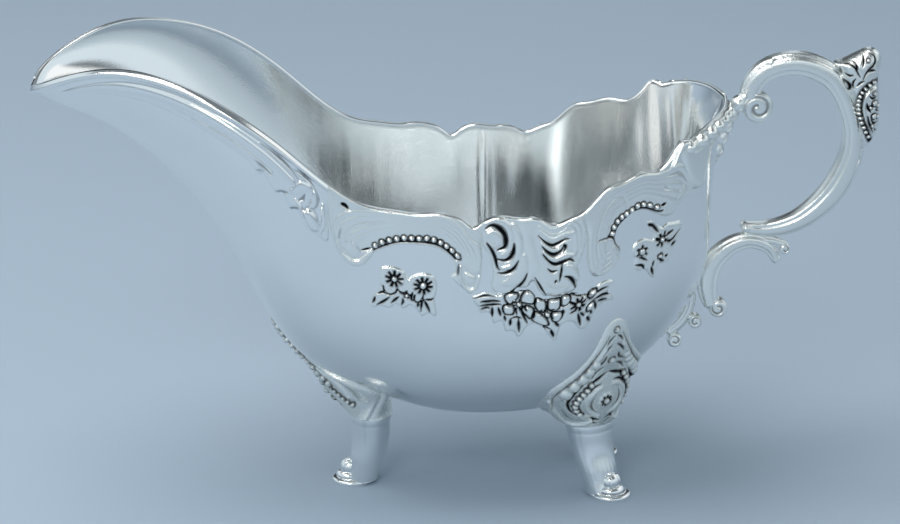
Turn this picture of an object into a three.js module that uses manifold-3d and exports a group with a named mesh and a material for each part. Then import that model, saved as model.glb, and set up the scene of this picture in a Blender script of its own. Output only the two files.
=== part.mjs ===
// Sauce boat of silver-plated metal on three feet, with a scroll handle.
// Millimetres, +Z up, standing on Z = 0. The spout points to -X, the handle to +X, and Y = 0 is the
// plane of symmetry. The bowl is one thin hull spread between a keel line and a rim line; every
// casting soldered on it takes its place from the hull's own surface.
import * as THREE from 'three';
import { mergeVertices } from 'three/addons/utils/BufferGeometryUtils.js';
import { ConvexGeometry } from 'three/addons/geometries/ConvexGeometry.js';
import Module from 'manifold-3d';

const wasm = await Module();
wasm.setup();

// Bowl: rim line and keel line
const SPOUT_REACH = 118;          // middle of the boat to the tip of the lip
const LIP_HEIGHT = 118.2;
const SPOUT_CREST_HEIGHT = 128.8; // highest part of the spout's edge
const SPOUT_HALF_WIDTH = 34;
const BOWL_HALF_WIDTH = 46.3;
const WAIST_HEIGHT = 91;          // rim at the lowest part of the side
const SHOULDER_HEIGHT = 105.6;    // rim at the back shoulder
const BACK_REACH = 75;            // rim behind, where the handle leaves it
const BACK_HEIGHT = 111.9;
const BELLY_HEIGHT = 22.5;        // underside of the bowl above the table
const BACK_BULGE = 70;            // back wall at its fullest
const NECK_REACH = 67;            // back wall where it draws in under the rim
const WALL = 1.3;
const SECTION_FULLNESS = 2.1;     // exponent of the cross-section, 2 is an ellipse
const SOLDER_GAP = 0.35;          // solder line between two pieces

const LIP_ROUND = 0.5;            // rise of the lip's rounded top
const BOWL_COLUMNS = 64;
const BOWL_ROWS = 9;

// Castings on the bowl
const RIM_LEDGE = 0.3;            // the lip stands this far above the castings
const RIM_BEAD_DROP = 1.6;        // middle of the bead that follows the rim
const BORDER_RISE = 1.7;
const SPOUT_BORDER_DROP = 6;
const CARTOUCHE_RISE = 2.2;
const CREST_RISE = 2;
const SPRAY_RISE = 1.1;

// Handle
const HANDLE_REACH = 118;         // middle of the boat to the back of the thumb piece
const HANDLE_RISE = 2.3;          // start of the grip's scroll above the back of the rim
const GRIP_HALF_DEPTH = 2.9;
const GRIP_HALF_WIDTH = 3.7;
const GRIP_CURL_RADIUS = 3.3;
const STEM_RADIUS = 2.7;
const BRACKET_HALF_DEPTH = 2.1;
const BRACKET_HALF_WIDTH = 2.6;
const BRACKET_HEIGHT = 61;        // where the bracket meets the back wall
const TAIL_HEIGHT = 48;
const THUMB_HALF_WIDTH = 6.2;

// Feet
const KNEE_HEIGHT = 20.7;         // joint between a leg and its knee
const FRONT_PAD_REACH = -31.3;
const REAR_PAD_REACH = 42.5;
const REAR_PAD_SPREAD = 17;
const REAR_TOE_TURN = 50;         // degrees out from straight back
const REAR_SHIELD_TURN = 60;      // the knee follows the bowl, so it turns a little further
const FRONT_SHIELD_HALF_WIDTH = 11.5;
const REAR_SHIELD_HALF_WIDTH = 15.6;
const PAD_LENGTH = 11;
const PAD_WIDTH = 11;
const PAD_THICKNESS = 1.8;

// Finish
const silver = { color: 0xc9d3d8, roughness: 0.16, metalness: 1 };
const oxidised = { color: 0xa9b2b6, roughness: 0.3, metalness: 1 };

// Rim and keel, station by station from the tip of the spout to the handle:
// rim reach, rim half width, rim height, keel reach, keel height
const ahead = (share) => -SPOUT_REACH * share;
const STATIONS = [
  [ahead(1), 0, LIP_HEIGHT, ahead(1), LIP_HEIGHT],
  [ahead(0.9661), 12.5, LIP_HEIGHT + 3.8, ahead(0.9237), LIP_HEIGHT - 4],
  [ahead(0.8347), SPOUT_HALF_WIDTH - 8.7, SPOUT_CREST_HEIGHT, ahead(0.8093), LIP_HEIGHT - 10.2],
  [ahead(0.6822), SPOUT_HALF_WIDTH, SPOUT_CREST_HEIGHT - 0.5, ahead(0.6653), LIP_HEIGHT - 24.7],
  [ahead(0.5466), SPOUT_HALF_WIDTH + 7, SPOUT_CREST_HEIGHT - 6.8, ahead(0.5297), BELLY_HEIGHT + 47],
  [ahead(0.4025), BOWL_HALF_WIDTH - 2.3, WAIST_HEIGHT + 19, ahead(0.3983), BELLY_HEIGHT + 21],
  [ahead(0.2458), BOWL_HALF_WIDTH - 2.3, WAIST_HEIGHT + 4.6, ahead(0.2458), BELLY_HEIGHT + 8.9],
  [-8.5, BOWL_HALF_WIDTH - 0.7, WAIST_HEIGHT + 0.8, -8.5, BELLY_HEIGHT + 1.5],
  [11.5, BOWL_HALF_WIDTH, WAIST_HEIGHT, 11.5, BELLY_HEIGHT],
  [28.5, BOWL_HALF_WIDTH - 0.5, WAIST_HEIGHT + 1.8, 30.5, BELLY_HEIGHT + 3],
  [43, BOWL_HALF_WIDTH - 5.8, SHOULDER_HEIGHT - 5, 46.5, BELLY_HEIGHT + 11.7],
  [BACK_REACH - 20, BOWL_HALF_WIDTH - 12, SHOULDER_HEIGHT, BACK_BULGE - 11.5, BELLY_HEIGHT + 22.2],
  [BACK_REACH - 9.5, BOWL_HALF_WIDTH - 21, BACK_HEIGHT - 1.9, BACK_BULGE - 0.8, BACK_HEIGHT - 46.7],
  [BACK_REACH - 2.7, 13.5, BACK_HEIGHT - 0.3, NECK_REACH + 0.3, BACK_HEIGHT - 23.7],
  [BACK_REACH, 0, BACK_HEIGHT, BACK_REACH, BACK_HEIGHT],
];
const MIDDLE_STATION = 8;         // distances along the rim are counted from here

// Scallops of the rim: distance along the rim, rise of the edge, reach of the rise
const SCALLOPS = [
  { at: -31, rise: 1.2, reach: 9 },
  { at: -19.5, rise: 1.4, reach: 5 },
  { at: -10.8, rise: -2.2, reach: 2.6 },
  { at: -3, rise: 1.3, reach: 5 },
  { at: 5.5, rise: 1, reach: 3.5 },
  { at: 11.5, rise: -1.5, reach: 4 },
  { at: 18.5, rise: -0.7, reach: 3 },
  { at: 26.5, rise: 1.8, reach: 4.5 },
  { at: 44.5, rise: -2.6, reach: 5 },
  { at: 52, rise: 1.9, reach: 2.5 },
];
const SCALLOP_FROM = 0.78;        // share of the wall's height where a scallop starts to show

const V = (x, y, z) => new THREE.Vector3(x, y, z);
const mix = THREE.MathUtils.lerp;
const smooth = THREE.MathUtils.smoothstep;

// Natural cubic curve through rows of numbers, with centripetal spacing
class RowCurve {
  constructor(rows) {
    this.rows = rows;
    this.knots = [0];
    const gaps = [];
    for (let i = 1; i < rows.length; i++) {
      const length = Math.hypot(...rows[i].map((value, k) => value - rows[i - 1][k]));
      gaps.push(Math.sqrt(length));
      this.knots.push(this.knots[i - 1] + gaps[i - 1]);
    }
    this.gaps = gaps;
    this.bends = rows[0].map((_, k) => RowCurve.solve(rows.map((row) => row[k]), gaps));
  }

  static solve(values, gaps) {
    const last = values.length - 1;
    const ratio = new Array(last + 1).fill(0);
    const bend = new Array(last + 1).fill(0);
    for (let i = 1; i < last; i++) {
      const slope = (values[i + 1] - values[i]) / gaps[i] - (values[i] - values[i - 1]) / gaps[i - 1];
      const pivot = 2 * (gaps[i - 1] + gaps[i]) - gaps[i - 1] * ratio[i - 1];
      ratio[i] = gaps[i] / pivot;
      bend[i] = (6 * slope - gaps[i - 1] * bend[i - 1]) / pivot;
    }
    for (let i = last - 1; i > 0; i--) bend[i] -= ratio[i] * bend[i + 1];
    return bend;
  }

  at(knot) {
    let i = 0;
    while (i < this.gaps.length - 1 && knot > this.knots[i + 1]) i++;
    const h = this.gaps[i];
    const a = this.knots[i + 1] - knot;
    const b = knot - this.knots[i];
    return this.rows[i].map((value, k) => {
      const [m0, m1] = [this.bends[k][i], this.bends[k][i + 1]];
      const next = this.rows[i + 1][k];
      return (m0 * a ** 3 + m1 * b ** 3) / (6 * h) + (value / h - m0 * h / 6) * a + (next / h - m1 * h / 6) * b;
    });
  }
}

// The hull: u is the distance along the rim from the middle station, t runs from the keel, 0, to the
// rim, 1. Points are on the -Y side; a negative t gives the mirrored side.
class Hull {
  constructor(stations) {
    this.curve = new RowCurve(stations);
    const end = this.curve.knots[stations.length - 1];
    const steps = 1200;
    this.table = [{ knot: 0, length: 0 }];
    let before = this.curve.at(0);
    for (let i = 1; i <= steps; i++) {
      const knot = (end * i) / steps;
      const row = this.curve.at(knot);
      const step = Math.hypot(row[0] - before[0], row[1] - before[1], row[2] - before[2]);
      this.table.push({ knot, length: this.table[i - 1].length + step });
      before = row;
    }
    this.middle = this.lengthAt(this.curve.knots[MIDDLE_STATION]);
    this.first = -this.middle;
    this.last = this.table[steps].length - this.middle;
  }

  lengthAt(knot) {
    const i = this.table.findIndex((entry) => entry.knot >= knot);
    return this.table[Math.max(i, 0)].length;
  }

  row(u) {
    const length = THREE.MathUtils.clamp(u + this.middle, 0, this.table[this.table.length - 1].length);
    let low = 0;
    let high = this.table.length - 1;
    while (high - low > 1) {
      const half = (low + high) >> 1;
      if (this.table[half].length <= length) low = half;
      else high = half;
    }
    const [a, b] = [this.table[low], this.table[high]];
    const share = (length - a.length) / Math.max(b.length - a.length, 1e-9);
    return this.curve.at(mix(a.knot, b.knot, share));
  }

  point(u, t) {
    const [rimX, rimY, rimZ, keelX, keelZ] = this.row(u);
    const angle = (Math.min(Math.abs(t), 1) * Math.PI) / 2;
    const out = Math.sin(angle) ** (2 / SECTION_FULLNESS);
    const up = 1 - Math.max(Math.cos(angle), 0) ** (2 / SECTION_FULLNESS);
    const x = keelX + (rimX - keelX) * up ** 0.8;
    const y = Math.max(rimY, 0) * out;
    const z = keelZ + (rimZ - keelZ) * up + scallop(u) * smooth(Math.abs(t), SCALLOP_FROM, 1);
    return V(x, t < 0 ? y : -y, z);
  }

  normal(u, t) {
    const [du, dt] = [0.2, 0.004];
    const u0 = Math.max(u - du, this.first);
    const u1 = Math.min(u + du, this.last);
    const t0 = Math.max(t - dt, -1);
    const t1 = Math.min(t + dt, 1);
    const along = this.point(u1, t).sub(this.point(u0, t));
    const upward = this.point(u, t1).sub(this.point(u, t0));
    return along.cross(upward).normalize();
  }

  // Share of the section where the wall lies d below the rim, measured on the wall
  shareBelow(u, d) {
    const steps = 60;
    let length = 0;
    let before = this.point(u, 1);
    for (let i = 1; i <= steps; i++) {
      const t = 1 - i / steps;
      const here = this.point(u, t);
      const step = here.distanceTo(before);
      if (length + step >= d) return t + ((length + step - d) / step) / steps;
      length += step;
      before = here;
    }
    return 0;
  }

  // A point h off the outside of the wall, d below the rim
  off(u, d, h) {
    const t = this.shareBelow(u, d);
    return this.point(u, t).addScaledVector(this.normal(u, t), h);
  }
}

function scallop(u) {
  return SCALLOPS.reduce((sum, s) => sum + s.rise * Math.exp(-(((u - s.at) / s.reach) ** 2)), 0);
}

// Solids and meshes

function solidOf(geometry) {
  const bare = geometry.clone();
  for (const name of Object.keys(bare.attributes)) if (name !== 'position') bare.deleteAttribute(name);
  const merged = mergeVertices(bare, 1e-4);
  return new wasm.Manifold(new wasm.Mesh({
    numProp: 3,
    vertProperties: new Float32Array(merged.attributes.position.array),
    triVerts: new Uint32Array(merged.index.array),
  }));
}

function geometryOf(solid) {
  const mesh = solid.getMesh();
  const geometry = new THREE.BufferGeometry();
  geometry.setAttribute('position', new THREE.BufferAttribute(mesh.vertProperties, 3));
  geometry.setIndex(new THREE.BufferAttribute(mesh.triVerts, 1));
  return geometry;
}

// Triangles between points, with those that collapse at a pole left out
class Skin {
  constructor() {
    this.points = [];
    this.faces = [];
  }

  add(point) {
    return this.points.push(point) - 1;
  }

  tri(a, b, c) {
    const [p, q, r] = [this.points[a], this.points[b], this.points[c]];
    const near = (m, n) => m.distanceToSquared(n) < 1e-8;
    if (!near(p, q) && !near(q, r) && !near(r, p)) this.faces.push(a, b, c);
  }

  quad(a, b, c, d) {
    this.tri(a, b, c);
    this.tri(a, c, d);
  }

  // Quads between rows of points; loop joins each row's end to its start
  sheet(rows, loop = false) {
    for (let i = 0; i + 1 < rows.length; i++) {
      const count = rows[i].length;
      for (let j = 0; j < (loop ? count : count - 1); j++) {
        const k = (j + 1) % count;
        this.quad(rows[i][j], rows[i + 1][j], rows[i + 1][k], rows[i][k]);
      }
    }
  }

  // Two sheets of the same layout, front and back, closed round their edge
  slab(front, back) {
    this.sheet(front);
    this.sheet(back.slice().reverse());
    const edge = (rows) => {
      const [n, m] = [rows.length - 1, rows[0].length - 1];
      const loop = rows[0].slice();
      for (let i = 1; i <= n; i++) loop.push(rows[i][m]);
      for (let j = m - 1; j >= 0; j--) loop.push(rows[n][j]);
      for (let i = n - 1; i > 0; i--) loop.push(rows[i][0]);
      return loop;
    };
    const [outer, inner] = [edge(front), edge(back)];
    outer.forEach((a, i) => {
      const k = (i + 1) % outer.length;
      this.quad(a, outer[k], inner[k], inner[i]);
    });
  }

  fan(ring, centre) {
    const middle = this.add(centre);
    ring.forEach((a, i) => this.tri(a, ring[(i + 1) % ring.length], middle));
  }

  geometry() {
    const loose = new THREE.BufferGeometry();
    loose.setAttribute('position', new THREE.Float32BufferAttribute(this.points.flatMap((p) => p.toArray()), 3));
    loose.setIndex(this.faces);
    const merged = mergeVertices(loose, 1e-4);
    return outward(merged);
  }
}

// Turns a closed surface so that its faces point out
function outward(geometry) {
  const p = geometry.attributes.position;
  const index = geometry.index.array;
  let volume = 0;
  const [a, b, c] = [V(0, 0, 0), V(0, 0, 0), V(0, 0, 0)];
  for (let i = 0; i < index.length; i += 3) {
    a.fromBufferAttribute(p, index[i]);
    b.fromBufferAttribute(p, index[i + 1]);
    c.fromBufferAttribute(p, index[i + 2]);
    volume += a.dot(b.clone().cross(c));
  }
  if (volume < 0) {
    for (let i = 0; i < index.length; i += 3) [index[i + 1], index[i + 2]] = [index[i + 2], index[i + 1]];
  }
  return geometry;
}

// The other side's copy of a piece
function mirrored(geometry) {
  const copy = geometry.clone();
  const p = copy.attributes.position;
  for (let i = 0; i < p.count; i++) p.setY(i, -p.getY(i));
  return outward(copy);
}

// A tube of changing oval section along a flat curve in the plane Y = 0.
// route: { x, z, depth, width } with half sizes, in order
function flatTube(route, steps, sides) {
  const curve = new THREE.CatmullRomCurve3(route.map((r) => V(r.x, 0, r.z)), false, 'centripetal');
  const skin = new Skin();
  const rings = [];
  const sizes = (share) => {
    const place = share * (route.length - 1);
    const i = Math.min(Math.floor(place), route.length - 2);
    const f = place - i;
    return [mix(route[i].depth, route[i + 1].depth, f), mix(route[i].width, route[i + 1].width, f)];
  };
  for (let i = 0; i <= steps; i++) {
    const share = i / steps;
    const middle = curve.getPoint(share);
    const along = curve.getTangent(share);
    const across = V(-along.z, 0, along.x);
    const [depth, width] = sizes(share);
    const ring = [];
    for (let j = 0; j < sides; j++) {
      const angle = (2 * Math.PI * j) / sides;
      const point = middle.clone().addScaledVector(across, depth * Math.cos(angle));
      point.y = width * Math.sin(angle);
      ring.push(skin.add(point));
    }
    rings.push(ring);
  }
  skin.sheet(rings, true);
  skin.fan(rings[0], curve.getPoint(0));
  skin.fan(rings[steps].slice().reverse(), curve.getPoint(1));
  return skin.geometry();
}

// A volute: a short drum lying across the boat, rounded at its rims
function volute(x, z, radius, halfWidth) {
  const bevel = Math.min(radius, halfWidth) * 0.35;
  const profile = [
    new THREE.Vector2(0, -halfWidth),
    new THREE.Vector2(radius - bevel, -halfWidth),
    new THREE.Vector2(radius, -halfWidth + bevel),
    new THREE.Vector2(radius, halfWidth - bevel),
    new THREE.Vector2(radius - bevel, halfWidth),
    new THREE.Vector2(0, halfWidth),
  ];
  return new THREE.LatheGeometry(profile, 12).translate(x, 0, z);
}

function joined(...geometries) {
  return geometryOf(geometries.map(solidOf).reduce((sum, solid) => sum.add(solid)));
}

function cut(geometry, ...tools) {
  return geometryOf(tools.map(solidOf).reduce((rest, tool) => rest.subtract(tool), solidOf(geometry)));
}

// Bowl

// Stations moved inward by a wall's thickness, or outward where it is negative
function insetStations(depth) {
  const last = STATIONS.length - 1;
  return STATIONS.map(([rimX, rimY, rimZ, keelX, keelZ], i) => {
    const before = STATIONS[Math.max(i - 1, 0)];
    const after = STATIONS[Math.min(i + 1, last)];
    if (i === 0) return [rimX + 1.4 * depth, 0, rimZ, rimX + 1.4 * depth, rimZ];
    if (i === last) return [rimX - 1.1 * depth, 0, rimZ, rimX - 1.1 * depth, rimZ];
    const plan = new THREE.Vector2(after[1] - before[1], before[0] - after[0]).setLength(depth);
    const keel = new THREE.Vector2(before[4] - after[4], after[3] - before[3]).setLength(depth);
    return [rimX + plan.x, Math.max(rimY + plan.y, 0), rimZ, keelX + keel.x, keelZ + keel.y];
  });
}

const hull = new Hull(STATIONS);

// Rows of points over the whole hull, from one rim under the keel to the other
function hullRows(skin, shape) {
  const rows = [];
  for (let i = 0; i <= BOWL_COLUMNS; i++) {
    const outerU = mix(hull.first, hull.last, i / BOWL_COLUMNS);
    const u = outerU < 0 ? (outerU * shape.first) / hull.first : (outerU * shape.last) / hull.last;
    const row = [];
    for (let j = -BOWL_ROWS; j <= BOWL_ROWS; j++) row.push(skin.add(shape.point(u, j / BOWL_ROWS)));
    rows.push(row);
  }
  return rows;
}

function bowlGeometry() {
  const skin = new Skin();
  const outer = hullRows(skin, hull);
  const inner = hullRows(skin, new Hull(insetStations(WALL)));
  skin.sheet(outer);
  skin.sheet(inner.slice().reverse());
  const crown = (side) => outer.map((row, i) => {
    const [a, b] = [skin.points[row[side]], skin.points[inner[i][side]]];
    return skin.add(a.clone().lerp(b, 0.5).add(V(0, 0, LIP_ROUND)));
  });
  const top = 2 * BOWL_ROWS;
  const near = crown(top);
  const far = crown(0);
  for (let i = 0; i < BOWL_COLUMNS; i++) {
    skin.quad(outer[i][top], outer[i + 1][top], near[i + 1], near[i]);
    skin.quad(near[i], near[i + 1], inner[i + 1][top], inner[i][top]);
    skin.quad(outer[i + 1][0], outer[i][0], far[i], far[i + 1]);
    skin.quad(far[i + 1], far[i], inner[i][0], inner[i + 1][0]);
  }
  return skin.geometry();
}

// The bowl filled to its rim, with the solder gap added all round: what a casting is cut back from
function bowlBlank() {
  const skin = new Skin();
  const rows = hullRows(skin, new Hull(insetStations(-SOLDER_GAP)));
  const top = 2 * BOWL_ROWS;
  skin.sheet(rows);
  for (let i = 0; i < BOWL_COLUMNS; i++) skin.quad(rows[i][top], rows[i + 1][top], rows[i + 1][0], rows[i][0]);
  return skin.geometry();
}

// Castings along the rim

// A value that runs straight between [place, value] pairs
function along(pairs, u) {
  let i = 0;
  while (i < pairs.length - 2 && u > pairs[i + 1][0]) i++;
  const [[u0, v0], [u1, v1]] = [pairs[i], pairs[i + 1]];
  return mix(v0, v1, THREE.MathUtils.clamp((u - u0) / (u1 - u0), 0, 1));
}

// A casting that hangs from the rim: drops are [distance along the rim, depth of its lower edge],
// bosses are raised scroll ends { u, d, radius, rise }
function rimCasting({ drops, rise, bead, bosses = [], columns, rows }) {
  const skin = new Skin();
  const [from, to] = [drops[0][0], drops[drops.length - 1][0]];
  const layer = (thick) => {
    const sheet = [];
    for (let i = 0; i <= columns; i++) {
      const u = mix(from, to, i / columns);
      const low = along(drops, u);
      const row = [];
      for (let j = 0; j <= rows; j++) row.push(skin.add(thick(u, mix(RIM_LEDGE, low, j / rows))));
      sheet.push(row);
    }
    return sheet;
  };
  const raised = (u, d) => {
    const ridge = bead * Math.exp(-(((d - RIM_BEAD_DROP) / RIM_BEAD_DROP) ** 2));
    const hills = bosses.map((b) => b.rise * Math.exp(-(((u - b.u) ** 2 + (d - b.d) ** 2) / b.radius ** 2)));
    return rise + Math.max(ridge, ...hills);
  };
  const front = layer((u, d) => hull.off(u, d, SOLDER_GAP + raised(u, d)));
  const back = layer((u, d) => hull.off(u, d, SOLDER_GAP));
  skin.slab(front, back);
  return skin.geometry();
}

// A small casting with a lobed outline, crowned towards its middle
function lobedCasting(at, centre, outline, rise, back = SOLDER_GAP) {
  const skin = new Skin();
  const layer = (heights) => {
    const rings = [0.5, 1].map((share, k) => outline.map(([a, b]) => {
      const point = at(mix(centre[0], a, share), mix(centre[1], b, share), heights[k + 1]);
      return skin.add(point);
    }));
    return { middle: at(...centre, heights[0]), rings };
  };
  const front = layer([rise, rise * 0.9, rise * 0.5].map((h) => h + SOLDER_GAP));
  const rear = layer([back, back, back]);
  skin.fan(front.rings[0], front.middle);
  skin.sheet([front.rings[0], front.rings[1]], true);
  skin.sheet([front.rings[1], rear.rings[1]], true);
  skin.sheet([rear.rings[1], rear.rings[0]], true);
  skin.fan(rear.rings[0].slice().reverse(), rear.middle);
  return skin.geometry();
}

const rimCastings = {
  spout_border: rimCasting({
    drops: [[-154, 2.5], [-130, SPOUT_BORDER_DROP], [-100, SPOUT_BORDER_DROP + 3], [-80, SPOUT_BORDER_DROP + 6],
      [-68, SPOUT_BORDER_DROP + 9], [-60, SPOUT_BORDER_DROP + 8], [-54, SPOUT_BORDER_DROP + 7], [-51.8, 10]],
    rise: 0.7,
    bead: BORDER_RISE - 0.7,
    bosses: [{ u: -54.5, d: 10, radius: 2.2, rise: 1 }],
    columns: 26,
    rows: 3,
  }),
  front_cartouche: rimCasting({
    drops: [[-51.3, 12], [-48, 18.5], [-44, 20.5], [-40.5, 19], [-37, 12.8], [-27, 10.8], [-19, 12], [-16.5, 16.5],
      [-13, 19.8], [-10, 18.5], [-8.6, 12]],
    rise: 0.8,
    bead: BORDER_RISE - 0.8,
    bosses: [{ u: -45, d: 14.5, radius: 3.6, rise: CARTOUCHE_RISE - 0.8 },
      { u: -12.8, d: 15, radius: 3.2, rise: CARTOUCHE_RISE - 0.8 }],
    columns: 18,
    rows: 5,
  }),
  side_crest: rimCasting({
    drops: [[-8.2, 12], [-6, 16.5], [-1, 19.3], [4.5, 16], [9, 19.3], [13.5, 18.3], [17, 15], [19.6, 11]],
    rise: 0.8,
    bead: CREST_RISE - 0.8,
    bosses: [{ u: -5, d: 6, radius: 4, rise: CREST_RISE - 1.2 }],
    columns: 12,
    rows: 5,
  }),
  back_cartouche: rimCasting({
    drops: [[20, 11], [22, 20], [25.5, 23.3], [29.5, 21.5], [32, 15.5], [36, 13.5], [46, 14], [50, 17], [54, 16],
      [57, 9], [66, 6], [80, 4]],
    rise: 0.8,
    bead: BORDER_RISE - 0.8,
    bosses: [{ u: 25.7, d: 19, radius: 3.4, rise: CARTOUCHE_RISE - 0.8 },
      { u: 51.5, d: 12.5, radius: 3, rise: CARTOUCHE_RISE - 0.8 }],
    columns: 24,
    rows: 5,
  }),
};

const onWall = (u, d, h) => hull.off(u, d, h);
const sprays = {
  front_spray: lobedCasting(onWall, [-28.5, 21.5], [[-35.5, 16], [-32, 15.2], [-28.5, 17.2], [-24.3, 16.8],
    [-20.5, 18.5], [-20, 22], [-22, 25], [-22.5, 29], [-25.5, 26.2], [-29, 27.2], [-33, 27], [-38.5, 25],
    [-36, 21.5], [-36.5, 18.5]], SPRAY_RISE),
  side_spray: lobedCasting(onWall, [8.5, 27], [[-11, 23.5], [-8.5, 27], [-5.5, 31], [-2.6, 30.3], [0, 31.5],
    [2, 34.3], [4.8, 31.6], [8, 32], [11.2, 35], [13.5, 32.2], [18, 34], [20.5, 33.8], [22.3, 31.6], [28.2, 33],
    [25, 28.4], [22.5, 25], [19, 23.5], [14, 24], [9.5, 22.8], [5, 20.6], [0, 21], [-4, 21]], SPRAY_RISE),
  back_spray: lobedCasting(onWall, [43.3, 22.3], [[42.7, 15.8], [46, 17], [50, 19.3], [50.5, 23], [47.5, 25.8],
    [46.2, 29.5], [42.8, 27.3], [38.5, 28], [35.5, 25.5], [36, 21.5], [39, 19], [41, 18.3]], SPRAY_RISE),
};

// Handle, in the plane Y = 0

// Reach of the back wall on the keel line at a height
function wallReach(height) {
  const steps = 200;
  for (let i = 0; i <= steps; i++) {
    const point = hull.point(mix(hull.last - 1, 0, i / steps), 0);
    if (point.z <= height) return point.x;
  }
  return BACK_BULGE;
}

// Route points set off from an anchor on the back wall: { x, z, depth, width }
function fromWall(height, offsets) {
  const reach = wallReach(height);
  return offsets.map(([x, z, depth, width]) => ({ x: reach + x, z: height + z, depth, width }));
}

// Lower bracket: a C scroll from the back wall up under the grip's end
const BRACKET_ROUTE = fromWall(BRACKET_HEIGHT, [
  [3.4, -9.4, 1.7, 2.4],
  [2.7, -5.6, 2.2, BRACKET_HALF_WIDTH],
  [2.7, -1.7, 2.7, BRACKET_HALF_WIDTH],
  [3.9, 2.5, 2.7, BRACKET_HALF_WIDTH],
  [6.8, 6.1, 2.4, BRACKET_HALF_WIDTH],
  [9.8, 8.1, 2.3, BRACKET_HALF_WIDTH],
  [13.5, 9.1, BRACKET_HALF_DEPTH, BRACKET_HALF_WIDTH],
  [16.6, 8.6, BRACKET_HALF_DEPTH, BRACKET_HALF_WIDTH],
  [19.5, 6.9, 1.8, 2.3],
  [21.8, 3.4, 1.4, 1.9],
]);
const BRACKET_TOP = BRACKET_ROUTE[6];
const BRACKET_LEAF = fromWall(BRACKET_HEIGHT, [
  [14.6, 9.5, 1.1, 2],
  [19.8, 8.9, 1.3, 1.9],
  [24.5, 7.4, 1.3, 1.5],
]);
const BRACKET_CURL = fromWall(BRACKET_HEIGHT, [[5.4, -10.5, 2.7, 2.5]])[0];

// Grip: how far down from its start to the bracket, and how far out to its full reach, both as
// shares, with its half depth and half width there
const GRIP_START = { x: BACK_REACH + 6.6, z: BACK_HEIGHT + HANDLE_RISE };
const GRIP_END = { x: BRACKET_TOP.x - 0.6, z: BRACKET_TOP.z + BRACKET_HALF_DEPTH + 1.6 };
const GRIP_SIDE = HANDLE_REACH - 6.7;
const GRIP_ROUTE = [
  [0.114, 0.02, 1.5, 2.2],
  [0, 0, 1.8, 2.5],
  [-0.129, 0.13, 2.3, 3],
  [-0.186, 0.42, GRIP_HALF_DEPTH, GRIP_HALF_WIDTH],
  [-0.097, 0.75, GRIP_HALF_DEPTH, GRIP_HALF_WIDTH],
  [0.136, 0.968, 2.6, GRIP_HALF_WIDTH],
  [0.408, 1, GRIP_HALF_DEPTH, GRIP_HALF_WIDTH],
  [0.718, 0.858, 3.2, GRIP_HALF_WIDTH],
  [0.935, 0.517, 2.6, 3.2],
  [1.002, 0.23, 2.2, 2.8],
  [1, 0, 1.7, 2.4],
].map(([down, out, depth, width]) => {
  const inner = mix(GRIP_START.x, GRIP_END.x, THREE.MathUtils.clamp(down, 0, 1));
  return { x: mix(inner, GRIP_SIDE, out), z: mix(GRIP_START.z, GRIP_END.z, down), depth, width };
});
const GRIP_CURL = { x: GRIP_START.x + 2.6, z: GRIP_START.z - 4.8, width: 2.9 };

function routeCurve(route) {
  return new THREE.CatmullRomCurve3(route.map((r) => V(r.x, 0, r.z)), false, 'centripetal');
}

function gripGeometry(grow = 0) {
  const route = GRIP_ROUTE.map((r) => ({ ...r, depth: r.depth + grow, width: r.width + grow }));
  const curl = volute(GRIP_CURL.x, GRIP_CURL.z, GRIP_CURL_RADIUS + grow, GRIP_CURL.width + grow);
  return joined(flatTube(route, 32, 10), curl);
}

// The stem climbs the neck of the back wall to the grip, with turned knots on its way
const STEM_FOOT = wallReach(BACK_HEIGHT - 16.2);
const STEM_ROUTE = [
  [STEM_FOOT + 0.2, -21.7, 1.6, 2.4],
  [STEM_FOOT + 1.6, -16.2, STEM_RADIUS, STEM_RADIUS + 0.5],
  [STEM_FOOT + 4.2, -10.2, STEM_RADIUS - 0.3, STEM_RADIUS + 0.2],
  [BACK_REACH + 1, -4.4, 2, 2.3],
  [BACK_REACH + 6.2, 1.6, 1.5, 1.9],
].map(([x, z, depth, width]) => ({ x, z: BACK_HEIGHT + z, depth, width }));
const STEM_KNOTS = [{ share: 0.42, radius: 3.4 }, { share: 0.58, radius: 3 }, { share: 0.72, radius: 2.6 }];

function stemGeometry(blank, grip) {
  const route = routeCurve(STEM_ROUTE);
  const knots = STEM_KNOTS.map(({ share, radius }) => {
    const ring = new THREE.SphereGeometry(radius, 10, 4).scale(1, 1, 0.4);
    const turn = new THREE.Quaternion().setFromUnitVectors(V(0, 0, 1), route.getTangent(share));
    ring.applyQuaternion(turn);
    const place = route.getPoint(share);
    return ring.translate(place.x, 0, place.z);
  });
  return cut(joined(flatTube(STEM_ROUTE, 10, 10), ...knots), blank, grip);
}

// The thumb piece: a shield on the outside of the grip that flares into a crown at its top. Each row
// gives a height above the grip's widest place, the back and front reach from the grip's middle line
// there, and the half width
const THUMB_RIBS = [
  [0.2, 0, 3.6, 3.2],
  [3, -0.3, 5.6, 4.7],
  [6, -0.4, 6.5, 5.6],
  [11.5, -1.5, 6.5, THUMB_HALF_WIDTH],
  [15, -2.6, 6.2, THUMB_HALF_WIDTH],
  [18, -5.5, 6, 5.8],
  [21, -7, 6.3, 6],
  [23.4, -6.2, 6.5, 5.7],
  [25, -2, 5.8, 4.8],
  [26.9, 1.6, 3.6, 2.6],
];

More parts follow.
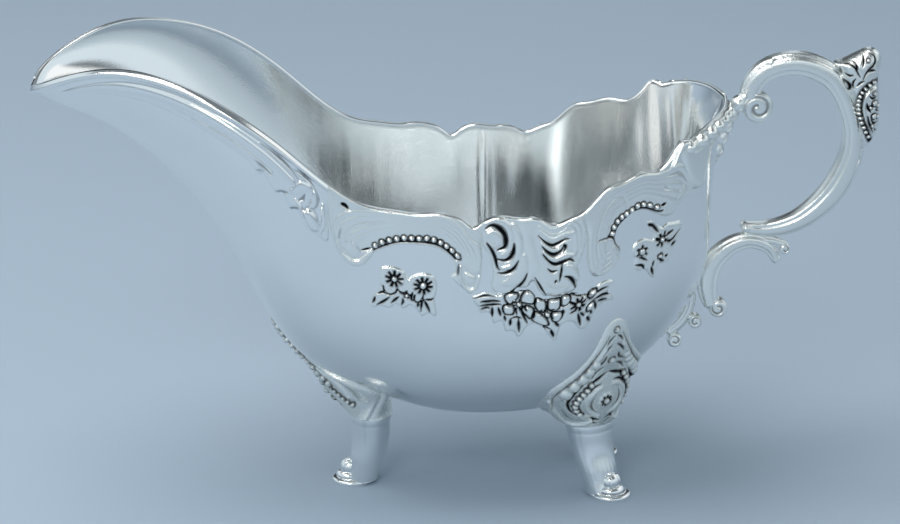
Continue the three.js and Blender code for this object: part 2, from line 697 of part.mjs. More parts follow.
function thumbGeometry(gripSpace) {
  const skin = new Skin();
  const sides = 12;
  const middle = GRIP_ROUTE[6];
  const rings = THUMB_RIBS.map(([rise, back, front, width]) => {
    const centre = middle.x + (back + front) / 2;
    return Array.from({ length: sides }, (_, j) => {
      const angle = (2 * Math.PI * j) / sides;
      const x = centre + ((front - back) / 2) * Math.cos(angle);
      return skin.add(V(x, width * Math.sin(angle), middle.z + rise));
    });
  });
  const last = THUMB_RIBS.length - 1;
  const centre = ([rise, back, front]) => V(middle.x + (back + front) / 2, 0, middle.z + rise);
  skin.sheet(rings, true);
  skin.fan(rings[0], centre(THUMB_RIBS[0]));
  skin.fan(rings[last].slice().reverse(), centre(THUMB_RIBS[last]));
  return cut(skin.geometry(), gripSpace);
}

// A tail scroll on the back wall below the bracket
const TAIL_ROUTE = fromWall(TAIL_HEIGHT, [
  [5, 6.7, 1.1, 1.7],
  [4.1, 2.2, 1.3, 2],
  [1.9, -1.6, 1.4, 2],
  [-1.3, -4.6, 1.2, 1.9],
]);
const TAIL_BRANCH = fromWall(TAIL_HEIGHT, [
  [2.9, 0.4, 1, 1.7],
  [4.7, -0.2, 1, 1.7],
]);
const TAIL_CURLS = fromWall(TAIL_HEIGHT, [[6.1, -1.5, 2, 2.1], [0.3, -7, 2.1, 2.1]]);

function bracketGeometry(blank, grip, grow = 0) {
  const route = BRACKET_ROUTE.map((r) => ({ ...r, depth: r.depth + grow, width: r.width + grow }));
  const curl = volute(BRACKET_CURL.x, BRACKET_CURL.z, BRACKET_CURL.depth + grow, BRACKET_CURL.width + grow);
  const scroll = joined(flatTube(route, 20, 8), curl);
  return grow > 0 ? scroll : cut(joined(scroll, flatTube(BRACKET_LEAF, 5, 8)), blank, grip);
}

function tailGeometry(blank, bracket) {
  const curls = TAIL_CURLS.map((c) => volute(c.x, c.z, c.depth, c.width));
  return cut(joined(flatTube(TAIL_ROUTE, 8, 8), flatTube(TAIL_BRANCH, 2, 8), ...curls), blank, bracket);
}

// Feet

// Where the hull's outside is met along a line from outside it
const hullMesh = (() => {
  const skin = new Skin();
  skin.sheet(hullRows(skin, hull));
  return new THREE.Mesh(skin.geometry(), new THREE.MeshBasicMaterial({ side: THREE.DoubleSide }));
})();

function meet(from, direction) {
  const ray = new THREE.Raycaster(from, direction.clone().normalize());
  return ray.intersectObject(hullMesh)[0]?.point ?? null;
}

// A flat patch tangent to the hull under plan point (x, y), its first axis climbing towards turn
class Seat {
  constructor(x, y, turn) {
    const under = (dx, dy) => meet(V(x + dx, y + dy, 0), V(0, 0, 1));
    this.origin = under(0, 0);
    const reach = 2;
    const slopeX = under(reach, 0).sub(under(-reach, 0));
    const slopeY = under(0, reach).sub(under(0, -reach));
    this.out = slopeY.cross(slopeX).normalize();
    const plan = V(Math.cos(turn), Math.sin(turn), 0);
    this.up = plan.addScaledVector(this.out, -plan.dot(this.out)).normalize();
    this.side = this.out.clone().cross(this.up);
  }

  at(a, b, h) {
    const far = 40;
    const flat = this.origin.clone().addScaledVector(this.up, a).addScaledVector(this.side, b);
    const foot = meet(flat.clone().addScaledVector(this.out, far), this.out.clone().negate()) ?? flat;
    return foot.addScaledVector(this.out, h);
  }
}

// Half outline of a knee's shield: climb from the seat, and half width as a share of the widest
const SHIELD_HALF = [[-20, 0.54], [-16, 0.78], [-11.5, 0.96], [-7, 1], [-2.5, 0.9], [3, 0.64], [8, 0.42], [12, 0.34],
  [16.5, 0.3], [19.8, 0.19]];
const SHIELD_TIP = 21.3;
const SHIELD_RISE = 1.4;
const SHIELD_SUNK = 2;            // depth of the rough casting that is cut back to fit the bowl
const KNEE_SWELL_CLIMB = 7;
const KNEE_MOULDING = 0.6;        // how far the knee's moulding stands proud of the leg

function kneeGeometry({ seat, leg, shieldWidth, shieldClimb }, blank) {
  const half = SHIELD_HALF.map(([a, b]) => [a > 0 ? a * shieldClimb : a, b * shieldWidth]);
  const other = half.map(([a, b]) => [a, -b]).reverse();
  const outline = [...half, [SHIELD_TIP * shieldClimb, 0], ...other];
  const shield = lobedCasting((a, b, h) => seat.at(a, b, h), [-4, 0], outline, SHIELD_RISE, -SHIELD_SUNK);
  const swell = [];
  for (const [a, b] of half.filter(([climb]) => climb < KNEE_SWELL_CLIMB)) {
    for (const side of [-1, 1]) {
      swell.push(seat.at(a, side * b * 0.86, SHIELD_RISE * 0.5), seat.at(a, side * b * 0.86, -SHIELD_SUNK));
    }
  }
  swell.push(seat.at(KNEE_SWELL_CLIMB, 0, SHIELD_RISE));
  swell.push(...leg.ring(KNEE_HEIGHT + SOLDER_GAP, KNEE_MOULDING));
  swell.push(...leg.ring(KNEE_HEIGHT + SOLDER_GAP + 1.4, KNEE_MOULDING));
  return cut(joined(shield, new ConvexGeometry(swell)), blank);
}

// Leg sections: height above the table, place towards the toe, half depth, half width
const LEG_SECTIONS = [
  [KNEE_HEIGHT, 0, 5.4, 7.8],
  [17.5, -0.2, 5.1, 7.3],
  [12.5, -0.2, 4.2, 6.5],
  [8.4, 0.4, 3.8, 5.9],
  [4.5, 2.2, 3.5, 5.5],
  [1, 4, 3.4, 5.2],
];
const TOE = { forward: 7.6, height: 5.1, radius: 2.7, halfWidth: 3.2 };
const PAD_FORWARD = 6;

class Leg {
  constructor(x, y, turn, lean) {
    Object.assign(this, { x, y, turn, lean });
  }

  // Forward distance and sideways distance to a point at a height
  place(forward, sideways, z) {
    const lean = this.lean * (1 - z / KNEE_HEIGHT);
    const [c, s] = [Math.cos(this.turn), Math.sin(this.turn)];
    return V(this.x + (forward + lean) * c - sideways * s, this.y + (forward + lean) * s + sideways * c, z);
  }

  ring(z, proud = 0) {
    const sides = 14;
    const i = Math.max(LEG_SECTIONS.findIndex((row) => row[0] <= z), 1);
    const [a, b] = [LEG_SECTIONS[i - 1], LEG_SECTIONS[i]];
    const share = THREE.MathUtils.clamp((a[0] - z) / (a[0] - b[0]), 0, 1);
    const [forward, depth, width] = [1, 2, 3].map((k) => mix(a[k], b[k], share));
    return Array.from({ length: sides }, (_, j) => {
      const angle = (2 * Math.PI * j) / sides;
      return this.place(forward + (depth + proud) * Math.cos(angle), (width + proud) * Math.sin(angle), z);
    });
  }

  geometry() {
    const skin = new Skin();
    const heights = [KNEE_HEIGHT, 17.5, 14.5, 11.5, 8.5, 6, 3.5, 1];
    const rings = heights.map((z) => this.ring(z).map((point) => skin.add(point)));
    skin.sheet(rings, true);
    skin.fan(rings[0], this.place(0, 0, KNEE_HEIGHT));
    skin.fan(rings[heights.length - 1].slice().reverse(), this.place(LEG_SECTIONS[5][1], 0, 1));
    const pad = new THREE.CylinderGeometry(0.94, 1, PAD_THICKNESS, 20).rotateX(Math.PI / 2);
    pad.scale(PAD_LENGTH / 2, PAD_WIDTH / 2, 1).translate(0, 0, PAD_THICKNESS / 2).rotateZ(this.turn);
    const under = this.place(PAD_FORWARD, 0, 0);
    pad.translate(under.x, under.y, 0);
    const toe = volute(0, 0, TOE.radius, TOE.halfWidth).rotateZ(this.turn);
    const front = this.place(TOE.forward, 0, TOE.height);
    toe.translate(front.x, front.y, front.z);
    return joined(skin.geometry(), pad, toe);
  }
}

const FRONT_LEAN = 0;
const REAR_LEAN = 3;
const rearTurn = (REAR_TOE_TURN * Math.PI) / 180;
const rearReach = PAD_FORWARD + REAR_LEAN;

// The -Y rear foot; the other one mirrors it
const feet = {
  front: {
    leg: new Leg(FRONT_PAD_REACH + PAD_FORWARD, 0, Math.PI, FRONT_LEAN),
    seat: new Seat(FRONT_PAD_REACH - 7, 0, Math.PI),
    shieldWidth: FRONT_SHIELD_HALF_WIDTH,
    shieldClimb: 1,
  },
  rear: {
    leg: new Leg(REAR_PAD_REACH - rearReach * Math.cos(rearTurn), -REAR_PAD_SPREAD + rearReach * Math.sin(rearTurn),
      -rearTurn, REAR_LEAN),
    seat: new Seat(REAR_PAD_REACH - 4.5, -REAR_PAD_SPREAD - 6, -(REAR_SHIELD_TURN * Math.PI) / 180),
    shieldWidth: REAR_SHIELD_HALF_WIDTH,
    shieldClimb: 1.14,
  },
};

// Assembly

const boat = new THREE.Group();

function place(name, geometry, finish = silver) {
  const mesh = new THREE.Mesh(geometry, new THREE.MeshStandardMaterial(finish));
  mesh.name = name;
  boat.add(mesh);
}

place('bowl', bowlGeometry());
for (const [name, geometry] of Object.entries({ ...rimCastings, ...sprays })) {
  const finish = name.includes('spout') ? silver : oxidised;
  place(`left_${name}`, geometry, finish);
  place(`right_${name}`, mirrored(geometry), finish);
}

const blank = bowlBlank();
const gripSpace = gripGeometry(SOLDER_GAP);
place('handle_grip', gripGeometry());
place('handle_stem', stemGeometry(blank, gripSpace));
place('thumb_cartouche', thumbGeometry(gripSpace), oxidised);
place('lower_bracket', bracketGeometry(blank, gripSpace));
place('bracket_tail', tailGeometry(blank, bracketGeometry(blank, gripSpace, SOLDER_GAP)));

place('front_knee', kneeGeometry(feet.front, blank), oxidised);
place('front_leg', feet.front.leg.geometry());
const rearKnee = kneeGeometry(feet.rear, blank);
const rearLeg = feet.rear.leg.geometry();
place('left_rear_knee', rearKnee, oxidised);
place('right_rear_knee', mirrored(rearKnee), oxidised);
place('left_rear_leg', rearLeg);
place('right_rear_leg', mirrored(rearLeg));

// The frame's origin is under the middle of the whole boat, on the table
const extent = new THREE.Box3().setFromObject(boat);
const middle = extent.getCenter(V(0, 0, 0));
for (const mesh of boat.children) mesh.geometry.translate(-middle.x, -middle.y, -extent.min.z);

export default boat;
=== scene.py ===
"""Sauce boat of silver plate on three feet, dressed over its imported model.

Sizes in the classes are millimetres in the model's frame: +Z up, the spout to -X, the handle to +X and
the near side to -Y. Meshes are written in metres. Ornament on the bowl is laid out in (u, d): u is the
distance along the rim from the middle of the side, d the distance below the rim on the wall.
"""
import logging
import math
from dataclasses import dataclass
from enum import Enum
from functools import partial, reduce
from typing import Callable, Sequence

import bmesh
import bpy
import numpy as np
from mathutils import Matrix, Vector


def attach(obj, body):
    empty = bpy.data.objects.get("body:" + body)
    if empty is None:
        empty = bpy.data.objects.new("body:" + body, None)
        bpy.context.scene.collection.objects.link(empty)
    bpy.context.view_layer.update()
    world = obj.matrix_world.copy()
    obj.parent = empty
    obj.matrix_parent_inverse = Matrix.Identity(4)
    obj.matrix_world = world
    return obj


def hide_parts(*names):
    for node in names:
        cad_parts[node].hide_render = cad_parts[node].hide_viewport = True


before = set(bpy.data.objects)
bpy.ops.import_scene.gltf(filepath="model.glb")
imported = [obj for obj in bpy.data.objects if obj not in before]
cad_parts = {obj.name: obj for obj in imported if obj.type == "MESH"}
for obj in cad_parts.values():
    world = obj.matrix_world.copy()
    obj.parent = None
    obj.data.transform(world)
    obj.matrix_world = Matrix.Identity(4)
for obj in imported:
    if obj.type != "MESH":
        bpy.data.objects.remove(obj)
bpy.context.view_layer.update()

LOG = logging.getLogger("sauce_boat")
MM = 0.001
SUNK = -0.3          # height at which a relief dips out of sight in the metal below it
BACKING = -0.55      # underside of a relief inside the wall
STEP = 0.25          # spacing of the points of a relief
Array = np.ndarray
Pair = tuple[float, float]
Triple = tuple[float, float, float]
Row = tuple[float, float, float, float]
Points = Sequence[Pair]
Placer = Callable[[Array, Array, Array], Array]
Socket = bpy.types.NodeSocket


class Side(Enum):
    """The two mirrored sides of the boat, with the sign of Y that each has."""

    LEFT = -1
    RIGHT = 1


class Slot(Enum):
    """Material slots of the record."""

    SILVER = "silver"
    OXIDISED = "oxidised_silver"


# Curves


def smooth_line(points: Array, closed: bool = False, sub: int = 6) -> Array:
    """Draws a smooth line through points.

    Args:
        points: rows of coordinates.
        closed: whether the last point joins the first.
        sub: points made for each span.

    Returns:
        The rows of the denser line.
    """
    p = np.asarray(points, float)
    if len(p) < 3 and not closed:
        return p
    ends = (p[-1:], p[:2]) if closed else (2 * p[:1] - p[1:2], 2 * p[-1:] - p[-2:-1])
    ring = np.vstack([ends[0], p, ends[1]])
    t = (np.arange(sub) / sub)[:, None]
    spans = len(p) if closed else len(p) - 1
    made = []
    for i in range(spans):
        a, b, c, d = ring[i:i + 4]
        made.append(0.5 * (2 * b + (c - a) * t + (2 * a - 5 * b + 4 * c - d) * t**2 + (3 * b - a - 3 * c + d) * t**3))
    if not closed:
        made.append(p[-1:])
    return np.vstack(made)


def blurred(values: Array, sigma: float) -> Array:
    """Softens a grid of values.

    Args:
        values: the grid.
        sigma: width of the softening, in grid steps.

    Returns:
        A grid of the same size.
    """
    reach = max(int(sigma * 3), 1)
    weights = np.exp(-0.5 * (np.arange(-reach, reach + 1) / sigma) ** 2)
    weights /= weights.sum()
    out = values
    for axis in (0, 1):
        pad = [(reach, reach) if k == axis else (0, 0) for k in (0, 1)]
        wide = np.pad(out, pad, mode="edge")
        out = sum(w * np.take(wide, range(k, k + values.shape[axis]), axis) for k, w in enumerate(weights))
    return out


def held(values: Array) -> Array:
    """Returns values held between 0 and 1."""
    return np.clip(values, 0, 1)


def bell(distance: Array, width: Array | float) -> Array:
    """Returns a bell curve: 1 at distance 0, and 0.37 at the width."""
    return np.exp(-((distance / width) ** 2))


def circle(count: int) -> Array:
    """Returns the angles of evenly spaced points round a circle."""
    return np.linspace(0, math.tau, count, endpoint=False)


def unit(vectors: Array) -> Array:
    """Returns vectors scaled to length 1."""
    return vectors / np.maximum(np.linalg.norm(vectors, axis=-1, keepdims=True), 1e-9)


# Meshes


def put(name: str, data: bpy.types.ID) -> bpy.types.Object:
    """Returns a new object, put in the scene with its data."""
    made = bpy.data.objects.new(name, data)
    bpy.context.scene.collection.objects.link(made)
    return made


class Skin:
    """Points in millimetres, a patina value for each, and the faces between them."""

    def __init__(self) -> None:
        """Starts empty."""
        self.points: list[Array] = []
        self.patina: list[Array] = []
        self.faces: list[Array] = []
        self.count = 0

    def add(self, points: Array, patina: Array | float = 0.0) -> Array:
        """Adds points.

        Args:
            points: an array whose last axis is x, y, z.
            patina: how dark each is, 0 bright and 1 black.

        Returns:
            The numbers of the points, in the array's own layout.
        """
        points = np.asarray(points, float)
        shape = points.shape[:-1]
        number = int(np.prod(shape)) if shape else 1
        self.points.append(points.reshape(-1, 3))
        self.patina.append(np.broadcast_to(np.asarray(patina, float), shape).reshape(-1))
        made = np.arange(self.count, self.count + number).reshape(shape)
        self.count += number
        return made

    def sheet(self, index: Array, loop: bool = False, keep: Array | None = None, flip: bool = False) -> None:
        """Adds quads between the rows of a grid of point numbers.

        Args:
            index: the grid.
            loop: whether each row's end joins its start.
            keep: which quads are made, all of them if None.
            flip: turns the quads over.
        """
        if loop:
            index = np.concatenate([index, index[:, :1]], 1)
        quads = np.stack([index[:-1, :-1], index[1:, :-1], index[1:, 1:], index[:-1, 1:]], -1)
        quads = quads[keep] if keep is not None else quads.reshape(-1, 4)
        self.faces.append(quads[:, ::-1] if flip else quads)

    def fan(self, ring: Array, middle: Array, patina: float = 0.0, flip: bool = False) -> None:
        """Closes a ring of points with triangles to a middle point.

        Args:
            ring: point numbers in order.
            middle: the middle point.
            patina: how dark the middle is.
            flip: turns the triangles over.
        """
        hub = self.add(np.asarray(middle, float).reshape(1, 3), patina)[0]
        after = np.roll(ring, -1)
        tris = np.stack([ring, after, np.full(len(ring), hub)], -1)
        self.faces.append(tris[:, ::-1] if flip else tris)

    def xyz(self) -> Array:
        """Returns all points as rows."""
        return np.vstack(self.points)

    def closed(self) -> "Skin":
        """Turns a closed surface so that its faces point out, and returns it."""
        p = self.xyz()
        volume = 0.0
        for f in self.faces:
            for k in range(1, f.shape[1] - 1):
                volume += np.einsum("ij,ij->", p[f[:, 0]], np.cross(p[f[:, k]], p[f[:, k + 1]]))
        if volume < 0:
            self.faces = [f[:, ::-1] for f in self.faces]
        return self

    def compact(self) -> "Skin":
        """Drops the points that no face uses, and returns the skin."""
        used = np.zeros(self.count, bool)
        for f in self.faces:
            used[f.reshape(-1)] = True
        number = np.cumsum(used) - 1
        self.points, self.patina = [self.xyz()[used]], [np.concatenate(self.patina)[used]]
        self.faces = [number[f] for f in self.faces]
        self.count = int(used.sum())
        return self

    def mirrored(self) -> "Skin":
        """Returns the copy on the boat's other side."""
        other = Skin()
        other.add(self.xyz() * np.array([1, -1, 1]), np.concatenate(self.patina))
        other.faces = [f[:, ::-1] for f in self.faces]
        return other

    def joined(self, *others: "Skin") -> "Skin":
        """Returns one skin that holds this one and the others."""
        whole = Skin()
        for part in (self, *others):
            base = whole.count
            whole.add(part.xyz(), np.concatenate(part.patina))
            whole.faces += [f + base for f in part.faces]
        return whole

    def build(self, name: str) -> bpy.types.Object:
        """Makes the Blender object.

        Args:
            name: its name.

        Returns:
            The object, linked to the scene and smooth.
        """
        xyz = self.xyz() * MM
        sizes = np.concatenate([np.full(len(f), f.shape[1]) for f in self.faces])
        corners = np.concatenate([f.reshape(-1) for f in self.faces])
        mesh = bpy.data.meshes.new(name)
        mesh.vertices.add(len(xyz))
        mesh.vertices.foreach_set("co", xyz.astype(np.float32).reshape(-1))
        mesh.loops.add(len(corners))
        mesh.loops.foreach_set("vertex_index", corners.astype(np.int32))
        mesh.polygons.add(len(sizes))
        starts = np.concatenate([[0], np.cumsum(sizes)[:-1]])
        mesh.polygons.foreach_set("loop_start", starts.astype(np.int32))
        mesh.polygons.foreach_set("loop_total", sizes.astype(np.int32))
        mesh.polygons.foreach_set("use_smooth", np.ones(len(sizes), bool))
        mesh.update(calc_edges=True)
        mesh.validate()
        dark = mesh.attributes.new("patina", "FLOAT", "POINT")
        dark.data.foreach_set("value", np.concatenate(self.patina).astype(np.float32))
        return put(name, mesh)


def tube(rings: Array, low: Array, high: Array, patina: Array | float = 0.0,
         turned: bool = False) -> Skin:
    """Makes a closed skin from a stack of rings.

    Args:
        rings: the points of each ring.
        low: the point that closes the first ring.
        high: the point that closes the last ring.
        patina: how dark the rings' points are.
        turned: whether the rings run the other way round.

    Returns:
        The skin.
    """
    made = Skin()
    index = made.add(rings, patina)
    made.sheet(index, loop=True)
    made.fan(index[0], low, flip=not turned)
    made.fan(index[-1], high, flip=turned)
    return made.closed()


# The hull


@dataclass
class Hull:
    """The bowl's surface, spread between a rim line and a keel line.

    A point is named by u, its distance along the rim, and t, 0 on the keel and 1 on the left rim; a
    negative t is on the right side.
    """

    stations: Array
    scallops: Sequence[Triple]
    middle: int = 8
    fullness: float = 2.1
    scallop_from: float = 0.78
    shift: float = 0.1

    def __post_init__(self) -> None:
        """Runs the smooth curve through the stations and measures it along the rim."""
        rows = np.asarray(self.stations, float)
        gaps = np.linalg.norm(np.diff(rows, axis=0), axis=1) ** 0.5
        knots = np.concatenate([[0], np.cumsum(gaps)])
        bends = self.bends(gaps, rows)
        x = np.linspace(0, knots[-1], 6001)
        i = np.clip(np.searchsorted(knots, x) - 1, 0, len(gaps) - 1)
        h = gaps[i][:, None]
        a, b = (knots[i + 1] - x)[:, None], (x - knots[i])[:, None]
        self.table = ((bends[i] * a**3 + bends[i + 1] * b**3) / (6 * h)
                      + (rows[i] / h - bends[i] * h / 6) * a + (rows[i + 1] / h - bends[i + 1] * h / 6) * b)
        arc = np.concatenate([[0], np.cumsum(np.linalg.norm(np.diff(self.table[:, :3], axis=0), axis=1))])
        self.arc = arc - np.interp(knots[self.middle], x, arc)
        self.first, self.last = float(self.arc[0]), float(self.arc[-1])
        self.below: Array | None = None

    @staticmethod
    def bends(gaps: Array, rows: Array) -> Array:
        """Solves for the second derivatives of the natural cubic curve.

        Args:
            gaps: knot distances.
            rows: the values at the knots.

        Returns:
            The second derivatives, row by row.
        """
        n = len(rows)
        left, right = np.zeros((n, n)), np.zeros(rows.shape)
        left[0, 0] = left[-1, -1] = 1
        slope = np.diff(rows, axis=0) / gaps[:, None]
        for i in range(1, n - 1):
            left[i, i - 1:i + 2] = gaps[i - 1], 2 * (gaps[i - 1] + gaps[i]), gaps[i]
            right[i] = 6 * (slope[i] - slope[i - 1])
        return np.linalg.solve(left, right)

    def scallop(self, u: Array) -> Array:
        """Returns how far the rim's edge rises at u."""
        return sum(rise * bell(u - at, reach) for at, rise, reach in self.scallops)

    def point(self, u: Array, t: Array) -> Array:
        """Returns the surface points at (u, t)."""
        u, t = np.broadcast_arrays(np.asarray(u, float), np.asarray(t, float))
        rim_x, rim_y, rim_z, keel_x, keel_z = (np.interp(u, self.arc, self.table[:, k]) for k in range(5))
        angle = held(np.abs(t)) * math.pi / 2
        out = np.sin(angle) ** (2 / self.fullness)
        up = 1 - held(np.cos(angle)) ** (2 / self.fullness)
        s = held((np.abs(t) - self.scallop_from) / (1 - self.scallop_from))
        x = keel_x + (rim_x - keel_x) * up**0.8 + self.shift
        y = np.maximum(rim_y, 0) * out
        z = keel_z + (rim_z - keel_z) * up + self.scallop(u) * s * s * (3 - 2 * s)
        return np.stack([x, np.where(t < 0, y, -y), z], -1)

    def normal(self, u: Array, t: Array) -> Array:
        """Returns the outward directions at (u, t)."""
        du, dt = 0.2, 0.004
        along = self.point(np.minimum(u + du, self.last), t) - self.point(np.maximum(u - du, self.first), t)
        upward = self.point(u, np.minimum(t + dt, 1)) - self.point(u, np.maximum(t - dt, -1))
        return unit(np.cross(along, upward))

    def share_below(self, u: Array, d: Array) -> Array:
        """Returns t where the wall lies d below the rim, measured on the wall."""
        cell = 0.25
        if self.below is None:
            self.grid_u = np.linspace(self.first, self.last, 700)
            t = np.linspace(1, 0, 500)
            p = self.point(self.grid_u[:, None], t[None, :])
            run = np.cumsum(np.linalg.norm(np.diff(p, axis=1), axis=2), axis=1)
            run = np.concatenate([np.zeros((len(run), 1)), run], 1)
            depths = np.arange(0, 60, cell)
            self.below = np.array([np.interp(depths, row, t) for row in run])
        rows, columns = self.below.shape
        fu = np.clip((u - self.first) / (self.last - self.first) * (rows - 1), 0, rows - 1.001)
        fd = np.clip(d / cell, 0, columns - 1.001)
        i, j = fu.astype(int), fd.astype(int)
        a, b, table = fu - i, fd - j, self.below
        return ((table[i, j] * (1 - a) + table[i + 1, j] * a) * (1 - b)
                + (table[i, j + 1] * (1 - a) + table[i + 1, j + 1] * a) * b)

    def off(self, u: Array, d: Array, h: Array) -> Array:
        """Returns points h off the outside of the left wall, d below the rim."""
        t = self.share_below(u, d)
        return self.point(u, t) + self.normal(u, t) * np.asarray(h)[..., None]

    def over_rim(self, u: Array, d: Array, h: Array) -> Array:
        """Returns the points of off(), where a negative d rolls over the edge of the rim."""
        q = held(-d / ROLL)
        height = np.where(d < 0, (h - SUNK) * np.sqrt(1 - q**2) + SUNK, h)
        p = self.off(u, np.maximum(d, 0), height)
        p[..., 2] += LIP_RISE * np.sin(q * math.pi / 2)
        return p


ROLL = 0.9           # length of the part of a relief that rolls over the rim
LIP_RISE = 0.47      # rounded lip above the rim line
WALL = 1.3
STATIONS = np.array([
    (-118.0, 0.0, 118.2, -118.0, 118.2), (-114.0, 12.5, 122.0, -109.0, 114.2), (-98.5, 25.3, 128.8, -95.5, 108.0),
    (-80.5, 34.0, 128.3, -78.5, 93.5), (-64.5, 41.0, 122.0, -62.5, 69.5), (-47.5, 44.0, 110.0, -47.0, 43.5),
    (-29.0, 44.0, 95.6, -29.0, 31.4), (-8.5, 45.6, 91.8, -8.5, 24.0), (11.5, 46.3, 91.0, 11.5, 22.5),
    (28.5, 45.8, 92.8, 30.5, 25.5), (43.0, 40.5, 100.6, 46.5, 34.2), (55.0, 34.3, 105.6, 58.5, 44.7),
    (65.5, 25.3, 110.0, 69.2, 65.2), (72.3, 13.5, 111.6, 67.3, 88.2), (75.0, 0.0, 111.9, 75.0, 111.9)])
SCALLOPS = ((-31, 1.2, 9), (-19.5, 1.4, 5), (-10.8, -2.2, 2.6), (-3, 1.3, 5), (5.5, 1, 3.5), (11.5, -1.5, 4),
            (18.5, -0.7, 3), (26.5, 1.8, 4.5), (44.5, -2.6, 5), (52, 1.9, 2.5))


def inset_stations(depth: float) -> Array:
    """Returns the stations moved inward by a wall's thickness, with each end drawn in to its lip."""
    moved = STATIONS.copy()
    for i in range(1, len(STATIONS) - 1):
        before, after = STATIONS[i - 1], STATIONS[i + 1]
        plan = unit(np.array([after[1] - before[1], before[0] - after[0]])) * depth
        keel = unit(np.array([before[4] - after[4], after[3] - before[3]])) * depth
        moved[i, 0] += plan[0]
        moved[i, 1] = max(moved[i, 1] + plan[1], 0)
        moved[i, 3:] += keel
    moved[0, [0, 3]] += 1.4 * depth
    moved[-1, [0, 3]] -= 1.1 * depth
    return moved


HULL = Hull(STATIONS, SCALLOPS)


# Relief


